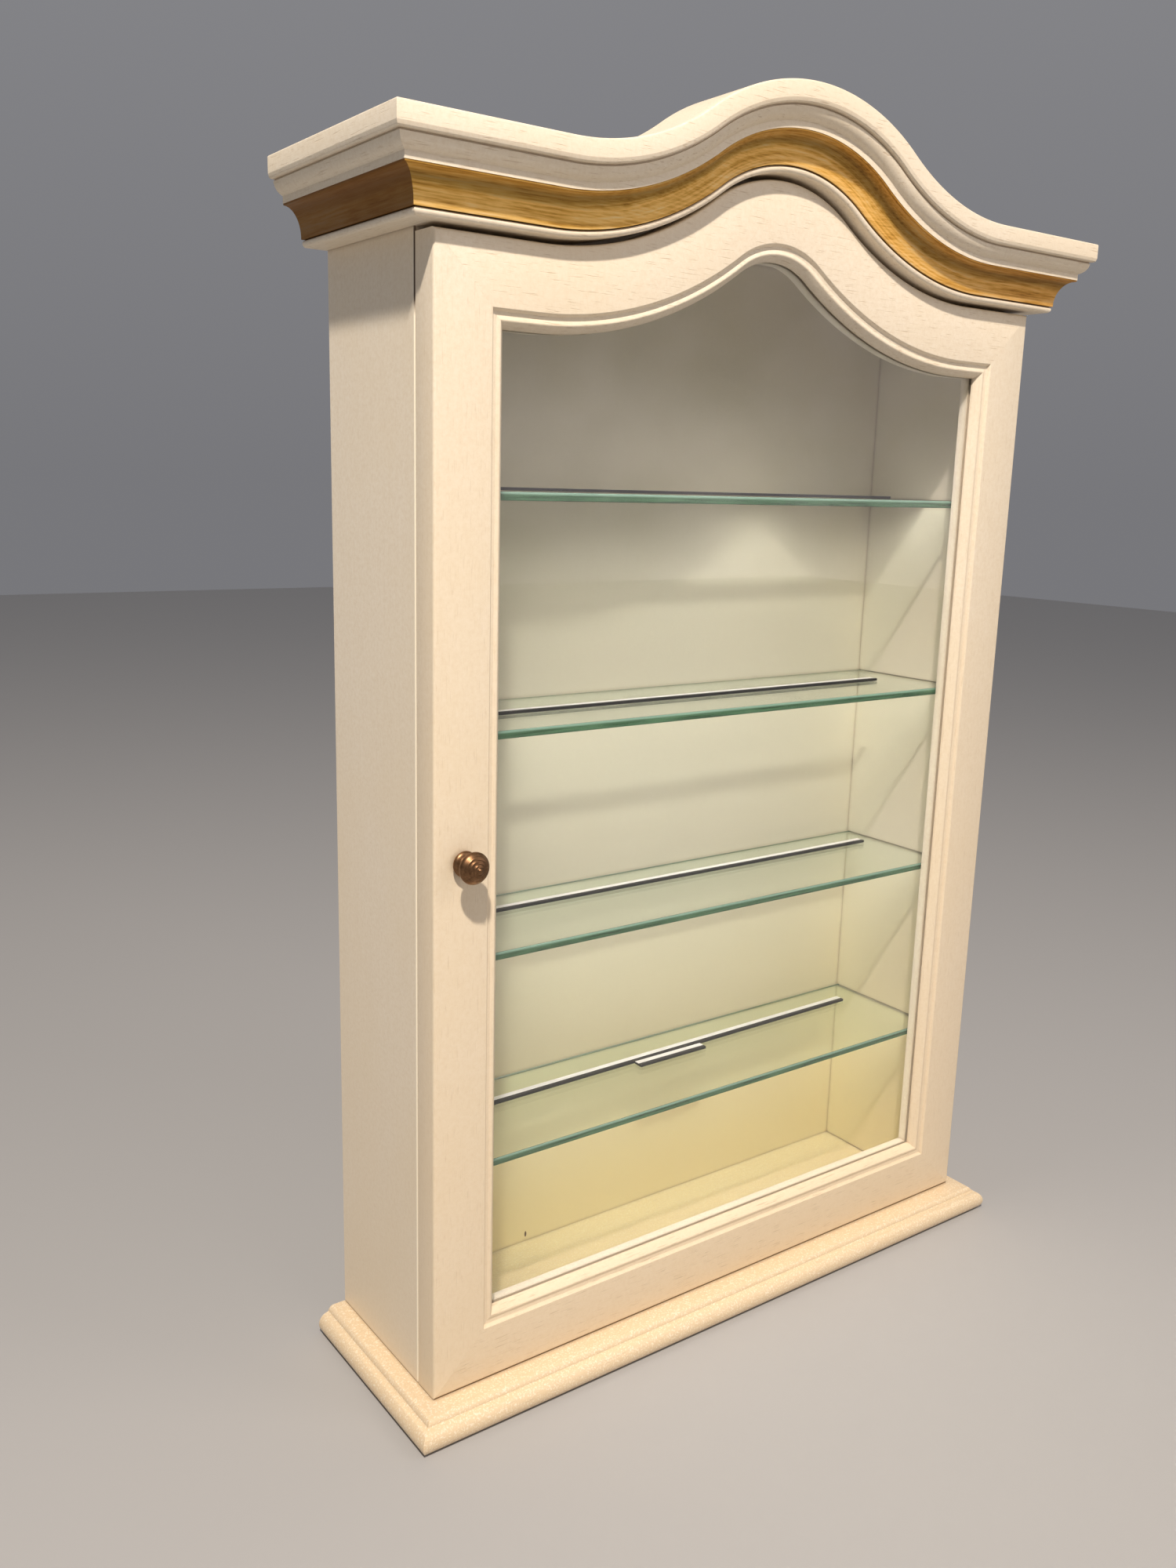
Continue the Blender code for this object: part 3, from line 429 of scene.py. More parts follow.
def gold_paint(name, direction, painted_shade):
    """Gold paint brushed along the moulding. A band of painted reflection and shade runs along the cove, and
    the gold is browner to the right. Dark brown can be laid over it all as painted shade, for the returns."""
    n = Nodes(bpy.data.materials.new(name))
    streaks = n.noise("UV", (11, 520, 1), detail=7, roughness=0.62, distortion=0.3)
    dashes = n.noise("Object", stretched(direction, 60, 900), detail=4, roughness=0.6)
    patches = n.noise("Object", 26, detail=4)
    mixed = n.math("ADD", n.math("MULTIPLY", streaks, 0.45), n.math("MULTIPLY", dashes, 0.30))
    mixed = n.math("ADD", mixed, n.math("MULTIPLY", patches, 0.25))
    wander = n.math("MULTIPLY", n.math("SUBTRACT", n.noise("UV", (9, 90, 1), detail=4), 0.5), 9 * MM)
    height = n.math("ADD", n.axes("UV")["Y"], wander)
    # painted sheen: pale at the cove's foot, dark above its middle
    sheen_band = n.ramp(n.math("DIVIDE", height, GOLD_BAND_LENGTH), GOLD_SHEEN_BAND)
    color = n.mix(0.85, n.ramp(mixed, GOLD_STREAKS), sheen_band, blend="MULTIPLY")
    browner = n.remap(n.axes("Object")["X"], -0.10, 0.26, 0.35, 1.0)
    color = n.mix(browner, color, GOLD_BROWNER, blend="MULTIPLY")
    # painted shade: the returns' gold is darkened to brown
    color = n.mix(painted_shade, color, GOLD_SHADE_BROWN)
    # painted shade in the moulding's hollows
    crevice = n.remap(n.occlusion(2.5 * MM), 0.15, 0.75, 0.55, 0.0)
    color = n.mix(crevice, color, GOLD_CREVICE_SHADE)
    roughness = n.remap(mixed, 0.38, 0.65, 0.55, 0.36)
    normal = n.bump(mixed, 0.18 * MM, 0.6)
    return n.finish(color, roughness, normal, Metallic=0.15, Specular_IOR_Level=0.3)


def aged_brass(name):
    """Brown tarnished brass, darker in its grooves."""
    n = Nodes(bpy.data.materials.new(name))
    tarnish = n.noise("Object", 90, detail=5, roughness=0.65)
    specks = n.noise("Object", 900, detail=3)
    mixed = n.math("ADD", n.math("MULTIPLY", tarnish, 0.75), n.math("MULTIPLY", specks, 0.25))
    crevice = n.remap(n.occlusion(2 * MM), 0.2, 0.8, 0.85, 0.0)
    color = n.mix(crevice, n.ramp(mixed, BRASS_TARNISH), BRASS_CREVICE)
    roughness = n.remap(mixed, 0.35, 0.7, 0.48, 0.26)
    return n.finish(color, roughness, n.bump(specks, 0.03 * MM, 0.5), Metallic=0.95)


def zinc_steel(name):
    """Zinc-plated steel with a fine spangle."""
    n = Nodes(bpy.data.materials.new(name))
    spangle = n.noise("Object", 260, detail=4, roughness=0.7)
    roughness = n.remap(spangle, 0.3, 0.7, 0.5, 0.32)
    return n.finish(n.ramp(spangle, ZINC_SPANGLE), roughness, n.bump(spangle, 0.03 * MM, 0.4), Metallic=0.9)


def glass(name, tint, shadow_tint, dust):
    """Clear float glass that lamps shine through."""
    n = Nodes(bpy.data.materials.new(name))
    smears = n.noise("Object", 24, detail=5, roughness=0.7)
    n.finish(tint, n.remap(smears, 0.45, 0.8, 0.0, dust), Transmission_Weight=1.0, IOR=1.5)
    clear = n.add("ShaderNodeBsdfTransparent")
    n.feed(shadow_tint, clear.inputs["Color"])
    mix = n.add("ShaderNodeMixShader")
    n.link(n.add("ShaderNodeLightPath").outputs["Is Shadow Ray"], mix.inputs[0])
    n.link(n.tree.nodes["Principled BSDF"].outputs[0], mix.inputs[1])
    n.link(clear.outputs[0], mix.inputs[2])
    n.link(mix.outputs[0], n.tree.nodes["Material Output"].inputs["Surface"])
    return n.owner


def glass_edge(name):
    """The seamed edge of a shelf, green where light runs along the sheet, with a painted highlight along its
    top.
    """
    n = Nodes(bpy.data.materials.new(name))
    grinding = n.noise("Object", (30, 700, 700), detail=4)
    # painted highlight along the top of the edge
    lit = n.remap(n.axes("Generated")["Z"], 0.62, 0.80, 0.0, 0.85)
    color = n.mix(lit, n.ramp(grinding, EDGE_GREEN), EDGE_LIT)
    return n.finish(color, 0.25, n.bump(grinding, 0.05 * MM, 0.5), Transmission_Weight=0.35, IOR=1.5)


def strip_face(name, color, darker):
    """A fibrous surface, streaked along the strip."""
    n = Nodes(bpy.data.materials.new(name))
    fibres = n.noise("Object", (60, 700, 700), detail=4)
    shade = n.ramp(fibres, [(0.35, darker), (0.65, color)])
    return n.finish(shade, 0.55, n.bump(fibres, 0.04 * MM, 0.5))


def catch_plastic(name):
    """Moulded brown plastic with a faint grain."""
    n = Nodes(bpy.data.materials.new(name))
    mottle = n.noise("Object", 500, detail=3)
    return n.finish(n.ramp(mottle, PLASTIC_MOTTLE), 0.45, n.bump(mottle, 0.04 * MM, 0.5))


PAINT_X = cream_paint("cream_paint_level", "X", 0.60, extra_yellowing=0.10)
PAINT_Y = cream_paint("cream_paint_deep", "Y", 0.45)
PAINT_Z = cream_paint("cream_paint_upright", "Z", 0.30, extra_yellowing=0.08)
PAINT_BASE = cream_paint("cream_paint_base", "X", 0.35, extra_yellowing=0.40, speckle=0.55, inside_shade=0.60)
# The glazing beads are whitened, a painted lightening for the light the door's glass takes from them.
PAINT_BEAD = cream_paint("cream_paint_whitened", "Z", 0.10, extra_yellowing=-0.45, speckle=0.3)
# The panels take less of the low yellowing and shade, a painted lightening of the lit sides.
PAINT_PANEL = cream_paint("cream_paint_panel", "Z", 0.0, extra_yellowing=-0.15, inside_shade=0.80, edge_light_and_shade=True)
GOLD_X = gold_paint("gold_paint_level", "X", 0.0)
# The returns' gold is mostly painted shade.
GOLD_Y = gold_paint("gold_paint_deep", "Y", 0.84)
BRASS = aged_brass("aged_brass")
STEEL = zinc_steel("zinc_steel")
DOOR_GLASS = glass("door_glass_clear", (0.95, 0.97, 0.95), (0.69, 0.69, 0.74), 0.05)
SHELF_GLASS = glass("shelf_glass_clear", (0.90, 0.96, 0.93), (0.83, 0.88, 0.84), 0.08)
SHELF_EDGE = glass_edge("shelf_glass_edge")
STRIP_TOP = strip_face("strip_top", (0.88, 0.85, 0.82), (0.76, 0.73, 0.70))
STRIP_EDGE = strip_face("strip_edge", (0.015, 0.014, 0.014), (0.006, 0.006, 0.006))
PLASTIC = catch_plastic("catch_plastic_brown")


# ---------------------------------------------------------------- geometry helpers


def turned_point(point, angle):
    cosine, sine = math.cos(angle), math.sin(angle)
    return Vector((point.x * cosine - point.y * sine, point.x * sine + point.y * cosine))


def rounded(corners, closed=True, steps=4):
    """An outline in which each (x, y, radius) corner becomes an arc. A corner with no radius stays sharp."""
    outline = []
    for i, corner in enumerate(corners):
        here = Vector(corner[:2])
        radius = corner[2] if len(corner) > 2 else 0
        at_end = not closed and i in (0, len(corners) - 1)
        if not radius or at_end:
            outline.append(tuple(here))
            continue
        before = (Vector(corners[i - 1][:2]) - here).normalized()
        after = (Vector(corners[(i + 1) % len(corners)][:2]) - here).normalized()
        half = before.angle(after) / 2
        centre = here + (before + after).normalized() * radius / math.sin(half)
        start = here + before * radius / math.tan(half) - centre
        end = here + after * radius / math.tan(half) - centre
        sweep = math.pi - 2 * half
        if start.x * end.y - start.y * end.x < 0:
            sweep = -sweep
        outline += [tuple(centre + turned_point(start, sweep * k / steps)) for k in range(steps + 1)]
    return outline


def arc(centre, radius, start, end, steps):
    """Points on an arc, or on an ellipse's where radius is a pair. Angles in degrees."""
    across, up = radius if isinstance(radius, tuple) else (radius, radius)
    turns = [math.radians(start + (end - start) * i / steps) for i in range(steps + 1)]
    return [(centre[0] + across * math.cos(turn), centre[1] + up * math.sin(turn)) for turn in turns]


def in_metres(points):
    return [(a * MM, b * MM) for a, b in points]


def add_piece(name, mesh, materials, body, slot, *nodes, smooth=32):
    """Puts a mesh in the scene as the piece that stands for these CAD nodes."""
    mesh.name = name
    for material in materials:
        mesh.materials.append(material)
    mesh.shade_smooth()
    mesh.set_sharp_from_angle(angle=math.radians(smooth))
    piece = add_object(name, mesh)
    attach(piece, body)
    if nodes:
        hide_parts(*nodes)
    return piece


def lofted(rows, loop=True, capped=True):
    """A skin over rows of points, one row for each point of the section, with UV in metres: U runs along the
    rows and V round the section."""
    bm = bmesh.new()
    uv = bm.loops.layers.uv.new("UVMap")
    grid = [[bm.verts.new(point) for point in row] for row in rows]
    columns = len(rows[0])
    along = [0.0]
    for k in range(1, columns):
        steps = [(Vector(row[k]) - Vector(row[k - 1])).length for row in rows]
        along.append(along[-1] + sum(steps) / len(steps))
    around = [0.0]
    middle = columns // 2
    for i in range(1, len(rows) + 1):
        around.append(around[-1] + (Vector(rows[i % len(rows)][middle]) - Vector(rows[i - 1][middle])).length)
    for i in range(len(rows) if loop else len(rows) - 1):
        following = grid[(i + 1) % len(rows)]
        for k in range(columns - 1):
            face = bm.faces.new((grid[i][k], grid[i][k + 1], following[k + 1], following[k]))
            near, far = along[k], along[k + 1]
            low, high = around[i], around[i + 1]
            places = ((near, low), (far, low), (far, high), (near, high))
            for corner, place in zip(face.loops, places):
                corner[uv].uv = place
    if capped:
        for k in (0, columns - 1):
            face = bm.faces.new([row[k] for row in grid])
            for corner in face.loops:
                corner[uv].uv = (corner.vert.co.x + corner.vert.co.z, corner.vert.co.y)
    bmesh.ops.recalc_face_normals(bm, faces=bm.faces)
    return mesh_from(bm)


def serpentine(rise, end_x):
    """The door's top line moved up square to itself, from left to right, as (x, z) points."""
    hollow = HOLLOW_RADIUS - rise
    crest = CREST_RADIUS + rise
    half = [(end_x, DOOR_TOP + rise)]
    for i in range(HOLLOW_STEPS):
        turn = BEND_ANGLE * i / HOLLOW_STEPS
        x = ARCH_HALF_SPAN - hollow * math.sin(turn)
        half.append((x, DOOR_TOP + HOLLOW_RADIUS - hollow * math.cos(turn)))
    crest_middle = DOOR_TOP + ARCH_RISE - CREST_RADIUS
    turns = [BEND_ANGLE * (2 * i / CREST_STEPS - 1) for i in range(CREST_STEPS + 1)]
    top = [(crest * math.sin(turn), crest_middle + crest * math.cos(turn)) for turn in turns]
    return [(-x, z) for x, z in half] + top + half[::-1]


def plate(outline, front, back, edge):
    """A flat board or sheet in the front plane, with its edges rounded over on both faces."""
    bm = bmesh.new()
    face = bm.faces.new([bm.verts.new((x, front, z)) for x, z in outline])
    grown = bmesh.ops.extrude_face_region(bm, geom=[face])
    moved = [item for item in grown["geom"] if isinstance(item, bmesh.types.BMVert)]
    bmesh.ops.translate(bm, vec=(0, back - front, 0), verts=moved)
    bmesh.ops.recalc_face_normals(bm, faces=bm.faces)
    level = [e for e in bm.edges if abs(e.verts[0].co.y - e.verts[1].co.y) < SAME_PLANE]
    rims = [e for e in level if e.calc_face_angle(0) > 1]
    bmesh.ops.bevel(bm, geom=rims, offset=edge, segments=2, affect="EDGES", profile=0.5)
    return mesh_from(bm)


def block(low, high, edge, segments=2):
    """A box with its edges rounded over."""
    bm = bmesh.new()
    bmesh.ops.create_cube(bm, size=1.0)
    bmesh.ops.scale(bm, vec=Vector(high) - Vector(low), verts=bm.verts)
    bmesh.ops.translate(bm, vec=(Vector(low) + Vector(high)) / 2, verts=bm.verts)
    bmesh.ops.bevel(bm, geom=bm.edges, offset=edge, segments=segments, affect="EDGES", profile=0.5)
    return mesh_from(bm)


def placed(axis, origin):
    """The transform that lays +Z along an axis that leaves the origin."""
    turn = Vector(UP).rotation_difference(Vector(axis)).to_matrix().to_4x4()
    return Matrix.Translation(origin) @ turn


def lathe(profile, steps, axis, origin):
    """(radius, height) points turned about an axis that leaves the origin. Points that end where they start
    make a tube."""
    matrix = placed(axis, origin)
    bm = bmesh.new()
    rings = []
    for radius, height in profile:
        if radius == 0:
            rings.append([bm.verts.new(matrix @ Vector((0, 0, height)))])
            continue
        ring = []
        for k in range(steps):
            angle = 2 * math.pi * k / steps
            point = Vector((radius * math.cos(angle), radius * math.sin(angle), height))
            ring.append(bm.verts.new(matrix @ point))
        rings.append(ring)
    for one, two in zip(rings, rings[1:]):
        for k in range(steps):
            corners = [one[k % len(one)], one[(k + 1) % len(one)], two[(k + 1) % len(two)], two[k % len(two)]]
            unique = list(dict.fromkeys(corners))
            if len(unique) > 2:
                bm.faces.new(unique)
    if profile[0] != profile[-1]:
        for ring in (rings[0], rings[-1]):
            if len(ring) > 2:
                bm.faces.new(ring)
    bmesh.ops.remove_doubles(bm, verts=bm.verts, dist=SAME_POINT)
    bmesh.ops.recalc_face_normals(bm, faces=bm.faces)
    return mesh_from(bm)


def joined(meshes):
    bm = bmesh.new()
    for mesh in meshes:
        bm.from_mesh(mesh)
    return mesh_from(bm)


def without(mesh, cutters):
    """The mesh with the cutters' meshes removed from it."""
    solid = add_object("solid", mesh)
    cutter = add_object("cutter", joined(cutters))
    modifier = solid.modifiers.new("holes", "BOOLEAN")
    modifier.operation = "DIFFERENCE"
    modifier.solver = "EXACT"
    modifier.object = cutter
    result = bpy.data.meshes.new_from_object(solid.evaluated_get(bpy.context.evaluated_depsgraph_get()))
    for thing in (solid, cutter):
        bpy.data.objects.remove(thing)
    return result


# ---------------------------------------------------------------- carcass

# The moulded edge, in mm, as (out from the carcass's side, height)
BASE_ROUND = arc((12.4, 7), (6.9, 7.4), -72, 84, 18)
BASE_STEP = arc((8.2, 14.4), 4.0, 6, 90, 10)
BASE_FORWARD = 2.9 * MM  # at the front, out is measured from this far ahead of the door
HEAD_RAIL_DEPTH = 25 * MM  # below the door's top line
HEAD_RAIL_CREST = 40 * MM  # above the door's top line


def base_board():
    """The moulded edge runs round three sides of one board."""
    rows = []
    for out, up in in_metres(BASE_ROUND + BASE_STEP):
        side = HALF_WIDTH + out
        front = DOOR_FACE_Y - BASE_FORWARD - out
        z = min(max(up, BASE_BOTTOM), BASE_TOP)
        rows.append([(-side, WALL_Y, z), (-side, front, z), (side, front, z), (side, WALL_Y, z)])
    bm = bmesh.new()
    bm.from_mesh(lofted(rows, loop=False, capped=False))
    for level in (min, max):
        height = level(vert.co.z for vert in bm.verts)
        rim = [v for v in bm.verts if abs(v.co.z - height) < SAME_PLANE]
        bm.faces.new(sorted(rim, key=lambda v: math.atan2(v.co.y, v.co.x)))
    bmesh.ops.holes_fill(bm, edges=[e for e in bm.edges if e.is_boundary])
    bmesh.ops.recalc_face_normals(bm, faces=bm.faces)
    add_piece("base_board_moulded", mesh_from(bm), [PAINT_BASE], "cabinet", "cream_paint", "base_board")


def paint_boards():
    """The plain boards keep their CAD shape."""
    for node, material in (
        ("side_panel_left", PAINT_PANEL),
        ("side_panel_right", PAINT_PANEL),
        ("back_panel", PAINT_PANEL),
        ("top_panel", PAINT_X),
    ):
        for holder in frame["nodes"][node].material_slots:
            holder.material = material


def head_rail():
    """The arched board that the cornice is fixed to."""
    low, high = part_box("head_rail")
    lower = serpentine(-HEAD_RAIL_DEPTH, high[0])
    upper = [(x, max(z, CARCASS_TOP)) for x, z in serpentine(HEAD_RAIL_CREST, high[0])]
    mesh = plate(lower + upper[::-1], low[1], high[1], edge=0.6 * MM)
    add_piece("head_rail_arched", mesh, [PAINT_X], "cabinet", "cream_paint", "head_rail", smooth=12)


# ---------------------------------------------------------------- cornice

# Outlines of the three mouldings, in mm, as (out from the carcass's side, height)
OVOLO = [(26.6, 719.9), (26.6, 723.7), (27.3, 724.2)] + arc((23.9, 731.5), 8.05, -65, -5, 10)
QUIRK = [(31.3, 731.0), (31.3, 731.7), (33.5, 731.9, 0.3)]
FASCIA = [(34.4, 732.5, 0.5), (35.0, 734.4, 1.0), (35.0, 743.8, 1.1), (26, 743.8)]
COVE = [(14.9, 702.12), (15.9, 702.12)] + arc((26.2, 702.8), (10.2, 16.2), 180, 90, 20) + [(26.4, 719.88)]
BEAD_LOWER = [(12.2, 698.0)] + arc((13.2, 700.2), (2.1, 2.2), -90, 0, 8)
BEAD_UPPER = arc((13.2, 700.2), (2.1, 1.9), 0, 50, 5)[1:]
CORNICE = {
    # name: (outline from its lowest outer point to its highest, materials of the front and the returns, slot)
    "crown": (in_metres(rounded(OVOLO + QUIRK + FASCIA, closed=False)), (PAINT_X, PAINT_Y), "cream_paint"),
    "cove": (in_metres(COVE), (GOLD_X, GOLD_Y), "gilt"),
    "bead": (in_metres(BEAD_LOWER + BEAD_UPPER), (PAINT_X, PAINT_Y), "cream_paint"),
}
RETURN_GAP = 0.3 * MM  # between a return and the carcass's side


def cornice():
    """Three stacked mouldings over the door and back along both sides, mitred at the corners."""
    for kind, (outline, (front_material, return_material), slot) in CORNICE.items():
        depth = DOOR_BACK_Y - CORNICE_CORNER_Y
        top, bottom = outline[-1][1], outline[0][1]
        rows = []
        for out, z in outline + [(0, top), (-depth, top), (-depth, bottom), (0, bottom)]:
            y = CORNICE_CORNER_Y - out
            end_x = HALF_WIDTH + max(out, 0) - JOINT_GAP
            rows.append([(x, y, height) for x, height in serpentine(z - DOOR_TOP, end_x)])
        node = f"cornice_{kind}_front"
        add_piece(f"cornice_{kind}_run", lofted(rows), [front_material], "cabinet", slot, node)
        for name, side in (("left", -1), ("right", 1)):
            rows = []
            for out, z in outline + [(RETURN_GAP, top), (RETURN_GAP, bottom)]:
                x = side * (HALF_WIDTH + out)
                rows.append([(x, CORNICE_CORNER_Y - out + 2 * JOINT_GAP, z), (x, WALL_Y, z)])
            node = f"cornice_{kind}_{name}"
            add_piece(f"{node}_run", lofted(rows), [return_material], "cabinet", slot, node)


# ---------------------------------------------------------------- door

# Sections of the door's members, in mm, as (across from the outer edge, deep from the front)
FRAME_FACE = rounded(
    [(0, 19.9, 0.5), (0, 0, 1.5), (35.5, 0, 0.7), (36.9, 2.1, 0.4), (39.7, 2.4, 0.3), (40.4, 1.7, 0.3)],
    steps=5,
)
FRAME_NOSE = [(across, -up) for across, up in arc((41.0, -3.1), 1.4, 100, 40, 6)]
FRAME_SLOPE = [(43.2, 3.4), (44.2, 4.7), (45.0, 5.9), (45.5, 7.0)]
FRAME_REBATE = [(45.5, 7.8), (38.5, 7.8), (38.5, 19.9)]
FRAME_SECTION = in_metres(FRAME_FACE + FRAME_NOSE + FRAME_SLOPE + FRAME_REBATE)
GLAZING_BEAD_CORNERS = [(38.8, 19.5), (38.8, 11.4), (45.5, 11.4, 0.3), (45.5, 18.0, 1.0), (43.5, 19.5, 1.0)]
GLAZING_BEAD_SECTION = in_metres(rounded(GLAZING_BEAD_CORNERS))
DOOR_MEMBERS = {
    "left": "door_stile_left",
    "right": "door_stile_right",
    "top": "door_rail_top",
    "bottom": "door_rail_bottom",
}

LEAF_THICKNESS = 1.6 * MM
MORTISE_ROOM = 0.3 * MM
MORTISE_PAST_EDGE = 5 * MM
KNOB_HOLE_RADIUS = 4.6 * MM
KNOB_HOLE_ROOM = 3.1 * MM  # from the top of the screw's head to the hole's floor


def door_rows(section, member):
    """Rows for one mitred member of the door, from its section of (across, deep) points."""
    rows = []
    for across, deep in section:
        x = HALF_WIDTH - across
        y = DOOR_FACE_Y + deep
        top = DOOR_TOP - across
        bottom = DOOR_BOTTOM + across
        if member == "top":
            rows.append([(px, y, pz) for px, pz in serpentine(-across, x - JOINT_GAP)])
        elif member == "bottom":
            rows.append([(-x + JOINT_GAP, y, bottom), (x - JOINT_GAP, y, bottom)])
        else:
            side = -1 if member == "left" else 1
            rows.append([(side * x, y, bottom + JOINT_GAP), (side * x, y, top - JOINT_GAP)])
    return rows


def hinge_mortises():
    """Cutters for the two recesses that the door's hinge leaves lie in."""
    cutters = []
    for height in ("upper", "lower"):
        low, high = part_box(f"hinge_{height}_door_leaf")
        room = Vector((MORTISE_ROOM, 0, MORTISE_ROOM))
        start = Vector((low.x, DOOR_BACK_Y - LEAF_THICKNESS - MORTISE_ROOM, low.z)) - room
        end = Vector((HALF_WIDTH + MORTISE_PAST_EDGE, DOOR_BACK_Y + MM, high.z)) + room
        cutters.append(block(start, end, edge=0.05 * MM))
    return cutters


def knob_screw_hole():
    """A cutter for the recess behind the knob that the head of its screw sits in."""
    low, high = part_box("knob_screw")
    place = ((low.x + high.x) / 2, DOOR_BACK_Y, (low.z + high.z) / 2)
    depth = DOOR_BACK_Y - high.y + KNOB_HOLE_ROOM
    profile = [(0, MM), (KNOB_HOLE_RADIUS, MM), (KNOB_HOLE_RADIUS, -depth), (0, -depth)]
    return [lathe(profile, 40, TO_BACK, place)]


DOOR_RECESSES = {"right": hinge_mortises, "left": knob_screw_hole}


def door():
    """Four mitred frame members, the beads that hold the pane from behind, and the pane."""
    for member, node in DOOR_MEMBERS.items():
        paint = PAINT_Z if member in ("left", "right") else PAINT_X
        mesh = lofted(door_rows(FRAME_SECTION, member))
        if member in DOOR_RECESSES:
            mesh = without(mesh, DOOR_RECESSES[member]())
        add_piece(f"{node}_moulded", mesh, [paint], "door", "cream_paint", node)
        mesh = lofted(door_rows(GLAZING_BEAD_SECTION, member))
        bead = f"glazing_bead_{member}"
        add_piece(f"{bead}_strip", mesh, [PAINT_BEAD], "door", "cream_paint", bead)
    low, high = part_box("door_glass")
    outline = [(high[0], low[2]), (low[0], low[2])] + serpentine(high[0] - HALF_WIDTH, high[0])
    mesh = plate(outline, low[1], high[1], edge=0.3 * MM)
    add_piece("door_glass_pane", mesh, [DOOR_GLASS], "door", "door_glass", "door_glass", smooth=12)


# ---------------------------------------------------------------- shelves


def shelves():
    """Glass sheets with green edges."""
    for number in range(1, 5):
        node = f"glass_shelf_{number}"
        low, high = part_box(node)
        mesh = block(low, high, edge=0.5 * MM, segments=3)
        materials = [SHELF_GLASS, SHELF_EDGE]
        piece = add_piece(f"{node}_sheet", mesh, materials, "cabinet", "shelf_glass", node, smooth=5)
        for face in piece.data.polygons:
            face.material_index = 0 if abs(face.normal.z) > 0.9 else 1


STRIP_WIDTH = 7.5 * MM
STRIP_DARK = 0.40  # the dark front share of each strip's width


def strips():
    """Flat laths on the shelves, some lying askew, with a dark front and a pale top behind it."""
    for node in sorted(name for name in frame["nodes"] if name.startswith("shelf_strip")):
        low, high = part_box(node)
        middle = (Vector(low) + Vector(high)) / 2
        length = high[0] - low[0]
        turn = math.asin(max((high[1] - low[1] - STRIP_WIDTH) / length, 0))
        size = Vector((length, STRIP_WIDTH, high[2] - low[2]))
        split = (STRIP_DARK - 0.5) * STRIP_WIDTH
        front = block(-size / 2, (size.x / 2, split, size.z / 2), edge=0.2 * MM)
        rear = block((-size.x / 2, split, -size.z / 2), size / 2, edge=0.2 * MM)
        mesh = joined([front, rear])
        pale = [face.normal.z > 0.7 and face.center.y > split for face in mesh.polygons]
        mesh.transform(Matrix.Translation(middle) @ Matrix.Rotation(turn, 4, "Z"))
        piece = add_piece(f"{node}_rail", mesh, [STRIP_TOP, STRIP_EDGE], "cabinet", "strip", node, smooth=5)
        for face, on_top in zip(piece.data.polygons, pale):
            face.material_index = 0 if on_top else 1


# ---------------------------------------------------------------- hardware

# The rings of the knob's face, as (share of the head's radius, share of the knob's length)
KNOB_TIP = [(0, 1.0), (0.06, 0.997), (0.13, 0.982), (0.18, 0.955), (0.20, 0.930), (0.215, 0.921)]
KNOB_RING_1 = [(0.30, 0.918), (0.36, 0.905), (0.385, 0.885), (0.395, 0.872), (0.41, 0.866)]
KNOB_RING_2 = [(0.52, 0.862), (0.58, 0.850), (0.605, 0.832), (0.615, 0.820), (0.63, 0.815)]
KNOB_RING_3 = [(0.72, 0.810), (0.775, 0.798)]
# The rest of the knob, ending in the bore for its screw, in mm, as (radius, height above the door)
KNOB_HEAD = arc((0, 13.7), (9.5, 4.7), 37, -64, 18)
KNOB_BEAD = rounded([(4.3, 8.6, 0.5), (3.7, 7.8, 0.8), (4.4, 6.9, 0.5)], closed=False)
KNOB_FOOT = arc((0, 3.6), (7.7, 3.2), 50, -70, 12)
KNOB_BORE = [(2.3, 0.3), (2.3, 9), (0, 9)]


def knob():
    """A turned knob with stepped rings on its face."""
    low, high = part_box("knob")
    centre = ((low[0] + high[0]) / 2, high[1], (low[2] + high[2]) / 2)
    head_radius = (high[0] - low[0]) / 2
    length = high[1] - low[1]
    face = KNOB_TIP + KNOB_RING_1 + KNOB_RING_2 + KNOB_RING_3
    profile = [(share * head_radius, height * length) for share, height in face]
    profile += in_metres(KNOB_HEAD + KNOB_BEAD + KNOB_FOOT + KNOB_BORE)
    mesh = lathe(profile, 64, TO_FRONT, centre)
    add_piece("knob_turned", mesh, [BRASS], "door", "brass", "knob", smooth=50)


SCREW_FACES = {
    # start of a screw's node name: the direction its head faces
    "hinge_upper_cabinet": TO_FRONT,
    "hinge_lower_cabinet": TO_FRONT,
    "hinge_upper_door": TO_BACK,
    "hinge_lower_door": TO_BACK,
    "hanging": TO_BACK,
    "catch": TO_RIGHT,
    "strike": TO_BACK,
}
SHANK_RADIUS = 1.4 * MM
HEAD_RIM = 0.2 * MM  # the straight rim of a countersunk head
HEAD_BEVEL = 0.25 * MM
HEAD_TAPER = 0.9
TIP_LENGTH = 1.5 * MM
THREAD_START = 2.6 * MM
THREAD_STEP = 0.45 * MM  # half the pitch
THREAD_STEPS = 14
THREAD_DEPTH = 0.3 * MM
SLOT_HALF_WIDTH = 0.45 * MM
SLOT_DEPTH = 0.8 * MM
HOLE_RADIUS = 1.6 * MM
HOLE_RIM = 0.1 * MM
HOLE_ROOM = 0.25 * MM  # round a countersunk head


def head_place(node, facing):
    """Where the middle of a screw's head meets its face, the head's radius, and the screw's length."""
    low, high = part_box(node)
    facing = Vector(facing)
    half = (high - low) / 2
    length = 2 * abs(half.dot(facing))
    radius = max(half.x if not facing.x else 0, half.z)
    return (low + high) / 2 + facing * length / 2, radius, length


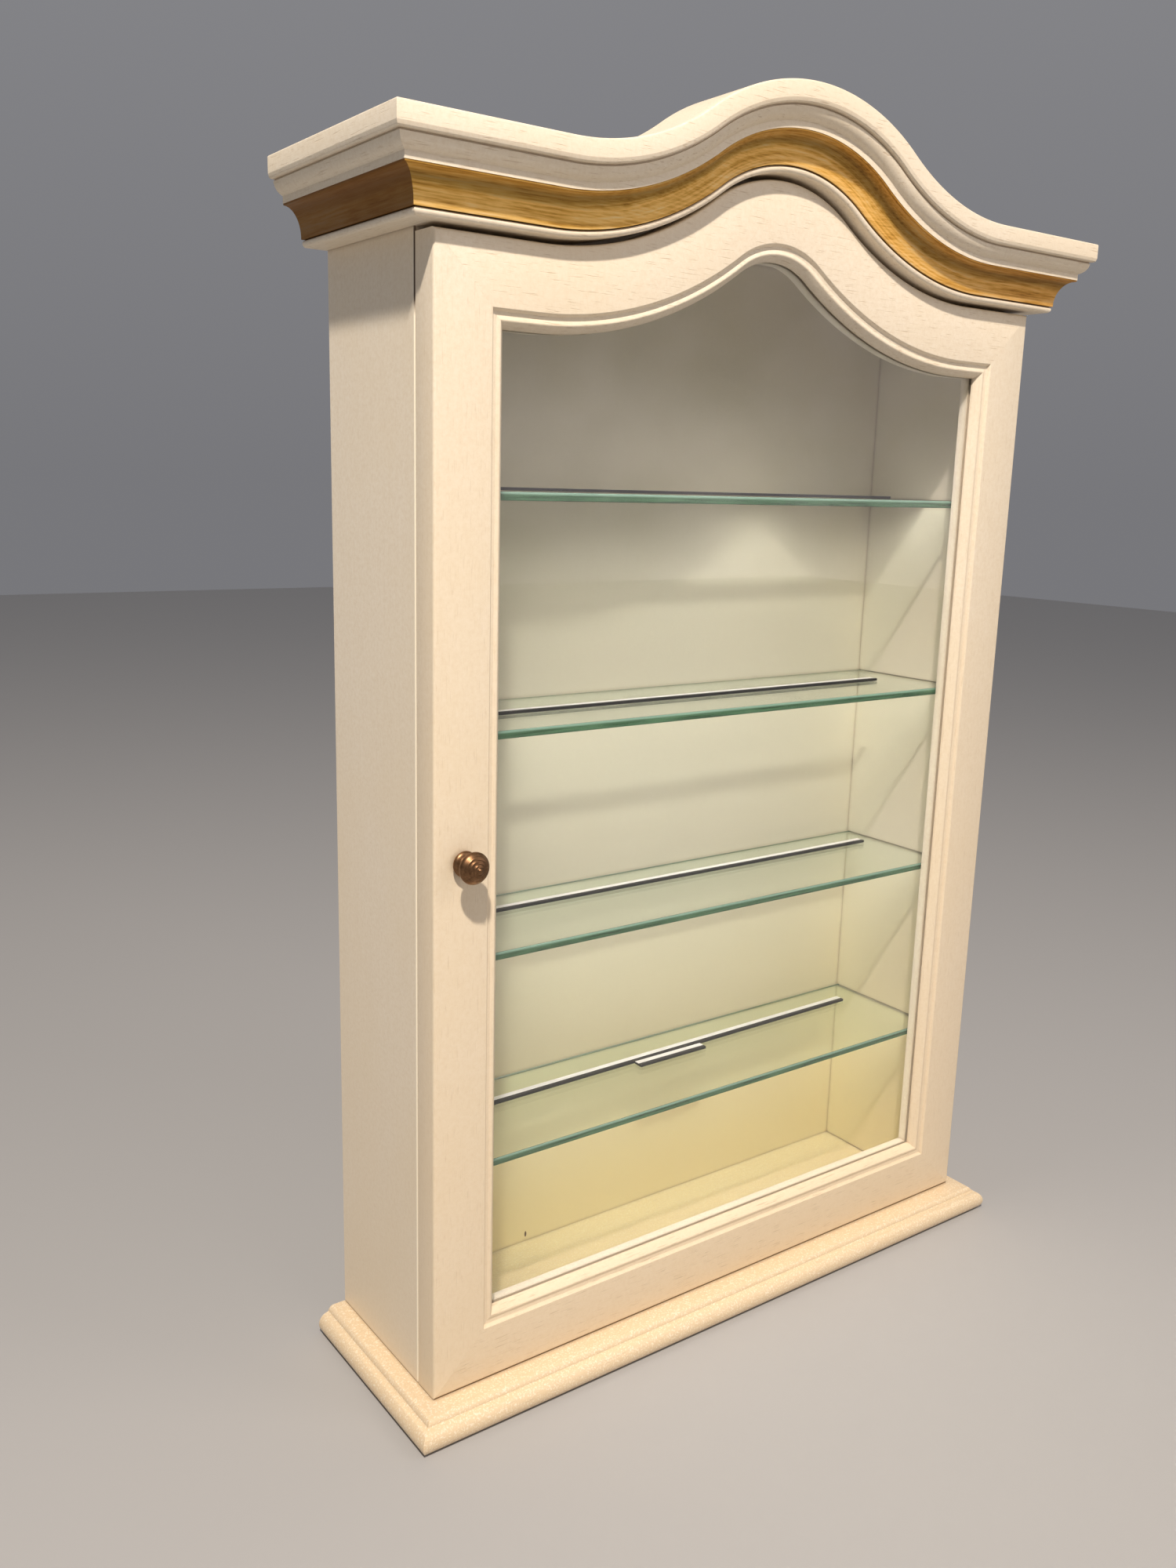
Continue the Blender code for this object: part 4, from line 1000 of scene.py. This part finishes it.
def countersink(node, facing, opening=HOLE_ROOM):
    """A cutter for the hole a countersunk screw sits in."""
    place, radius, length = head_place(node, facing)
    mouth = radius + opening
    throat = HOLE_RIM + mouth - HOLE_RADIUS
    profile = [(0, MM), (mouth, MM), (mouth, -HOLE_RIM), (HOLE_RADIUS, -throat)]
    return lathe(profile + [(HOLE_RADIUS, -length), (0, -length)], 32, facing, place)


def slotted_screws():
    """Countersunk wood screws with a slot across the head, each turned to its own angle."""
    for node in sorted(frame["nodes"]):
        kind = [start for start in SCREW_FACES if node.startswith(start)]
        if not kind or "screw" not in node:
            continue
        facing = SCREW_FACES[kind[0]]
        place, radius, length = head_place(node, facing)
        head_foot = HEAD_RIM + (radius - SHANK_RADIUS) * HEAD_TAPER
        profile = [(0, 0), (radius - HEAD_BEVEL, 0), (radius, -HEAD_RIM), (SHANK_RADIUS, -head_foot)]
        for k in range(THREAD_STEPS):
            profile.append((SHANK_RADIUS - THREAD_DEPTH * (k % 2), -THREAD_START - k * THREAD_STEP))
        profile += [(SHANK_RADIUS * 0.6, -length + TIP_LENGTH), (0, -length)]
        mesh = lathe(profile, 32, facing, place)
        corner = Vector((1.2 * radius, SLOT_HALF_WIDTH, 0))
        slot = block(-corner - Vector((0, 0, SLOT_DEPTH)), corner + Vector((0, 0, MM)), edge=0.1 * MM)
        turn = 0.5 + 1.7 * sum(map(ord, node)) % math.pi
        slot.transform(placed(facing, place) @ Matrix.Rotation(turn, 4, "Z"))
        mesh = without(mesh, [slot])
        add_piece(f"{node}_slotted", mesh, [STEEL], BODY_OF[node], "steel", node, smooth=30)


# The knob's screw has a domed head. In mm, as (radius, height above the top of the head).
DOMED_HEAD = [(0, 0), (2.6, 0), (3.4, -0.25), (3.85, -0.8), (4.0, -1.4), (4.0, -2.8), (2.0, -2.9)]
DOMED_SHANK_RADIUS = 2.0 * MM
DOMED_TIP_RADIUS = 1.4 * MM
DOMED_TIP_LENGTH = 0.8 * MM
DOMED_SLOT_LOW = Vector((-5, -1.2, -0.5)) * MM
DOMED_SLOT_HIGH = Vector((5, 1, 0.5)) * MM
DOMED_SLOT_TURN = 0.7


def knob_screw():
    """The screw that holds the knob from behind the door."""
    low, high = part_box("knob_screw")
    place = Vector(((low.x + high.x) / 2, high.y, (low.z + high.z) / 2))
    length = high.y - low.y
    shank = [(DOMED_SHANK_RADIUS, -length + DOMED_TIP_LENGTH), (DOMED_TIP_RADIUS, -length), (0, -length)]
    mesh = lathe(in_metres(DOMED_HEAD) + shank, 40, TO_BACK, place)
    slot = block(DOMED_SLOT_LOW, DOMED_SLOT_HIGH, edge=0.1 * MM)
    slot.transform(Matrix.Translation(place) @ Matrix.Rotation(DOMED_SLOT_TURN, 4, "Y"))
    mesh = without(mesh, [slot])
    add_piece("knob_screw_slotted", mesh, [STEEL], "door", "steel", "knob_screw", smooth=30)


KNUCKLE_GAP = 0.4 * MM
KNUCKLE_BORE = 1.5 * MM
KNUCKLE_EDGE = 0.3 * MM
LEAF_EDGE = 0.25 * MM
LEAF_INTO_KNUCKLE = 0.6 * MM
PIN_RADIUS = 1.2 * MM
PIN_BALL = arc((0, 2.4), (2.1, 1.8), 90, -50, 10) + [(1.3, 0.9), (2.2, 0.5), (2.2, 0.0)]
PIN_BALL_GAP = 0.3 * MM


def knuckle(axis, radius, start, end):
    """One rolled tube of a hinge leaf."""
    edge = KNUCKLE_EDGE
    outer = [(radius - edge, start), (radius, start + edge), (radius, end - edge), (radius - edge, end)]
    ring = [(KNUCKLE_BORE, start)] + outer + [(KNUCKLE_BORE, end), (KNUCKLE_BORE, start)]
    return lathe(ring, 40, UP, axis)


def hinge_leaf(height, kind, facing, axis, leaf_ends, knuckle_ends):
    """A mortised plate with two countersunk holes, and the knuckles that it is rolled into."""
    node = f"hinge_{height}_{kind}_leaf"
    bottom, top = leaf_ends
    low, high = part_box(node)
    radius = high.x - axis.x
    face = CARCASS_FRONT_Y if kind == "cabinet" else DOOR_BACK_Y
    back = face - facing[1] * LEAF_THICKNESS
    start = (low.x, min(face, back), bottom)
    end = (axis.x - radius + LEAF_INTO_KNUCKLE, max(face, back), top)
    holes = [countersink(f"hinge_{height}_{kind}_screw_{place}", facing) for place in ("top", "bottom")]
    pieces = [without(block(start, end, LEAF_EDGE), holes)]
    pieces += [knuckle(axis, radius, *ends) for ends in knuckle_ends]
    add_piece(f"{node}_rolled", joined(pieces), [BRASS], BODY_OF[node], "brass", node, smooth=40)


def hinges():
    """Two butt hinges: leaves with rounded edges, knuckles, and a pin with ball tips."""
    for height in ("upper", "lower"):
        pin_low, pin_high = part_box(f"hinge_{height}_pin")
        axis = Vector(((pin_low.x + pin_high.x) / 2, (pin_low.y + pin_high.y) / 2, 0))
        cabinet_low, cabinet_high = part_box(f"hinge_{height}_cabinet_leaf")
        bottom, top = cabinet_low.z, cabinet_high.z
        third = (top - bottom) / 3
        outer_knuckles = [(bottom, bottom + third), (top - third, top)]
        middle_knuckle = [(bottom + third + KNUCKLE_GAP, top - third - KNUCKLE_GAP)]
        hinge_leaf(height, "cabinet", TO_FRONT, axis, (bottom, top), outer_knuckles)
        hinge_leaf(height, "door", TO_BACK, axis, (bottom, top), middle_knuckle)
        upper = [(radius, z + top + PIN_BALL_GAP) for radius, z in in_metres(PIN_BALL)]
        lower = [(radius, bottom + top - z) for radius, z in reversed(upper)]
        shank = [(PIN_RADIUS, top), (PIN_RADIUS, bottom)]
        mesh = lathe(upper + shank + lower, 40, UP, axis)
        node = f"hinge_{height}_pin"
        add_piece(f"{node}_ball_tipped", mesh, [BRASS], BODY_OF[node], "brass", node, smooth=40)


HANGING_HOLE = in_metres([(0, 5), (3, 5), (3, -5), (0, -5)])


def hanging_plates():
    """Flat steel plates with a round top and a hole for a wall hook."""
    for side in ("left", "right"):
        node = f"hanging_plate_{side}"
        low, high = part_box(node)
        half = (high.x - low.x) / 2
        middle = (low.x + high.x) / 2
        crown = [(middle - x, z) for x, z in arc((0, high.z - half), half, 0, 180, 32)]
        mesh = plate([(low.x, low.z)] + crown + [(high.x, low.z)], low.y, high.y, edge=0.25 * MM)
        holes = [lathe(HANGING_HOLE, 40, TO_BACK, (middle, high.y, high.z - half))]
        holes += [countersink(f"hanging_screw_{side}_{place}", TO_BACK) for place in ("inner", "outer")]
        mesh = without(mesh, holes)
        add_piece(f"{node}_punched", mesh, [STEEL], BODY_OF[node], "steel", node, smooth=20)


POLE_SHARES = (0.3, 0.7)  # places of the two pole plates across the magnet's width
# Half width, start behind the magnet's front, end behind it, and distance from the magnet's ends
POLE_GAP = (1.0 * MM, -1.0 * MM, 1.6 * MM, 3.0 * MM)
POLE_PLATE = (0.8 * MM, 0.2 * MM, 1.8 * MM, 3.2 * MM)


def pole_block(share, half_width, start, end, inset):
    """One pole plate, or the gap that it stands in."""
    low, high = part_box("catch_magnet")
    x = low.x + (high.x - low.x) * share
    near = (x - half_width, low.y + start, low.z + inset)
    far = (x + half_width, low.y + end, high.z - inset)
    return block(near, far, edge=0.1 * MM)


def catch():
    """A magnet block with two pole plates in its front, and the strike it holds."""
    gaps = [countersink("catch_screw", TO_RIGHT, opening=0.3 * MM)]
    gaps += [pole_block(share, *POLE_GAP) for share in POLE_SHARES]
    poles = [pole_block(share, *POLE_PLATE) for share in POLE_SHARES]
    case = without(block(*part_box("catch_magnet"), edge=0.8 * MM, segments=3), gaps)
    add_piece("catch_magnet_case", case, [PLASTIC], "cabinet", "catch_plastic", "catch_magnet", smooth=25)
    add_piece("catch_magnet_poles", joined(poles), [STEEL], "cabinet", "catch_plastic", smooth=25)
    plain_strike = block(*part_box("catch_strike"), edge=0.3 * MM)
    strike = without(plain_strike, [countersink("strike_screw", TO_BACK)])
    add_piece("catch_strike_plate", strike, [STEEL], "door", "steel", "catch_strike", smooth=25)


# ---------------------------------------------------------------- assembly

add_camera()
add_floor()
add_room()
add_lamps()
base_board()
paint_boards()
head_rail()
cornice()
door()
shelves()
strips()
knob()
slotted_screws()
knob_screw()
hinges()
hanging_plates()
catch()
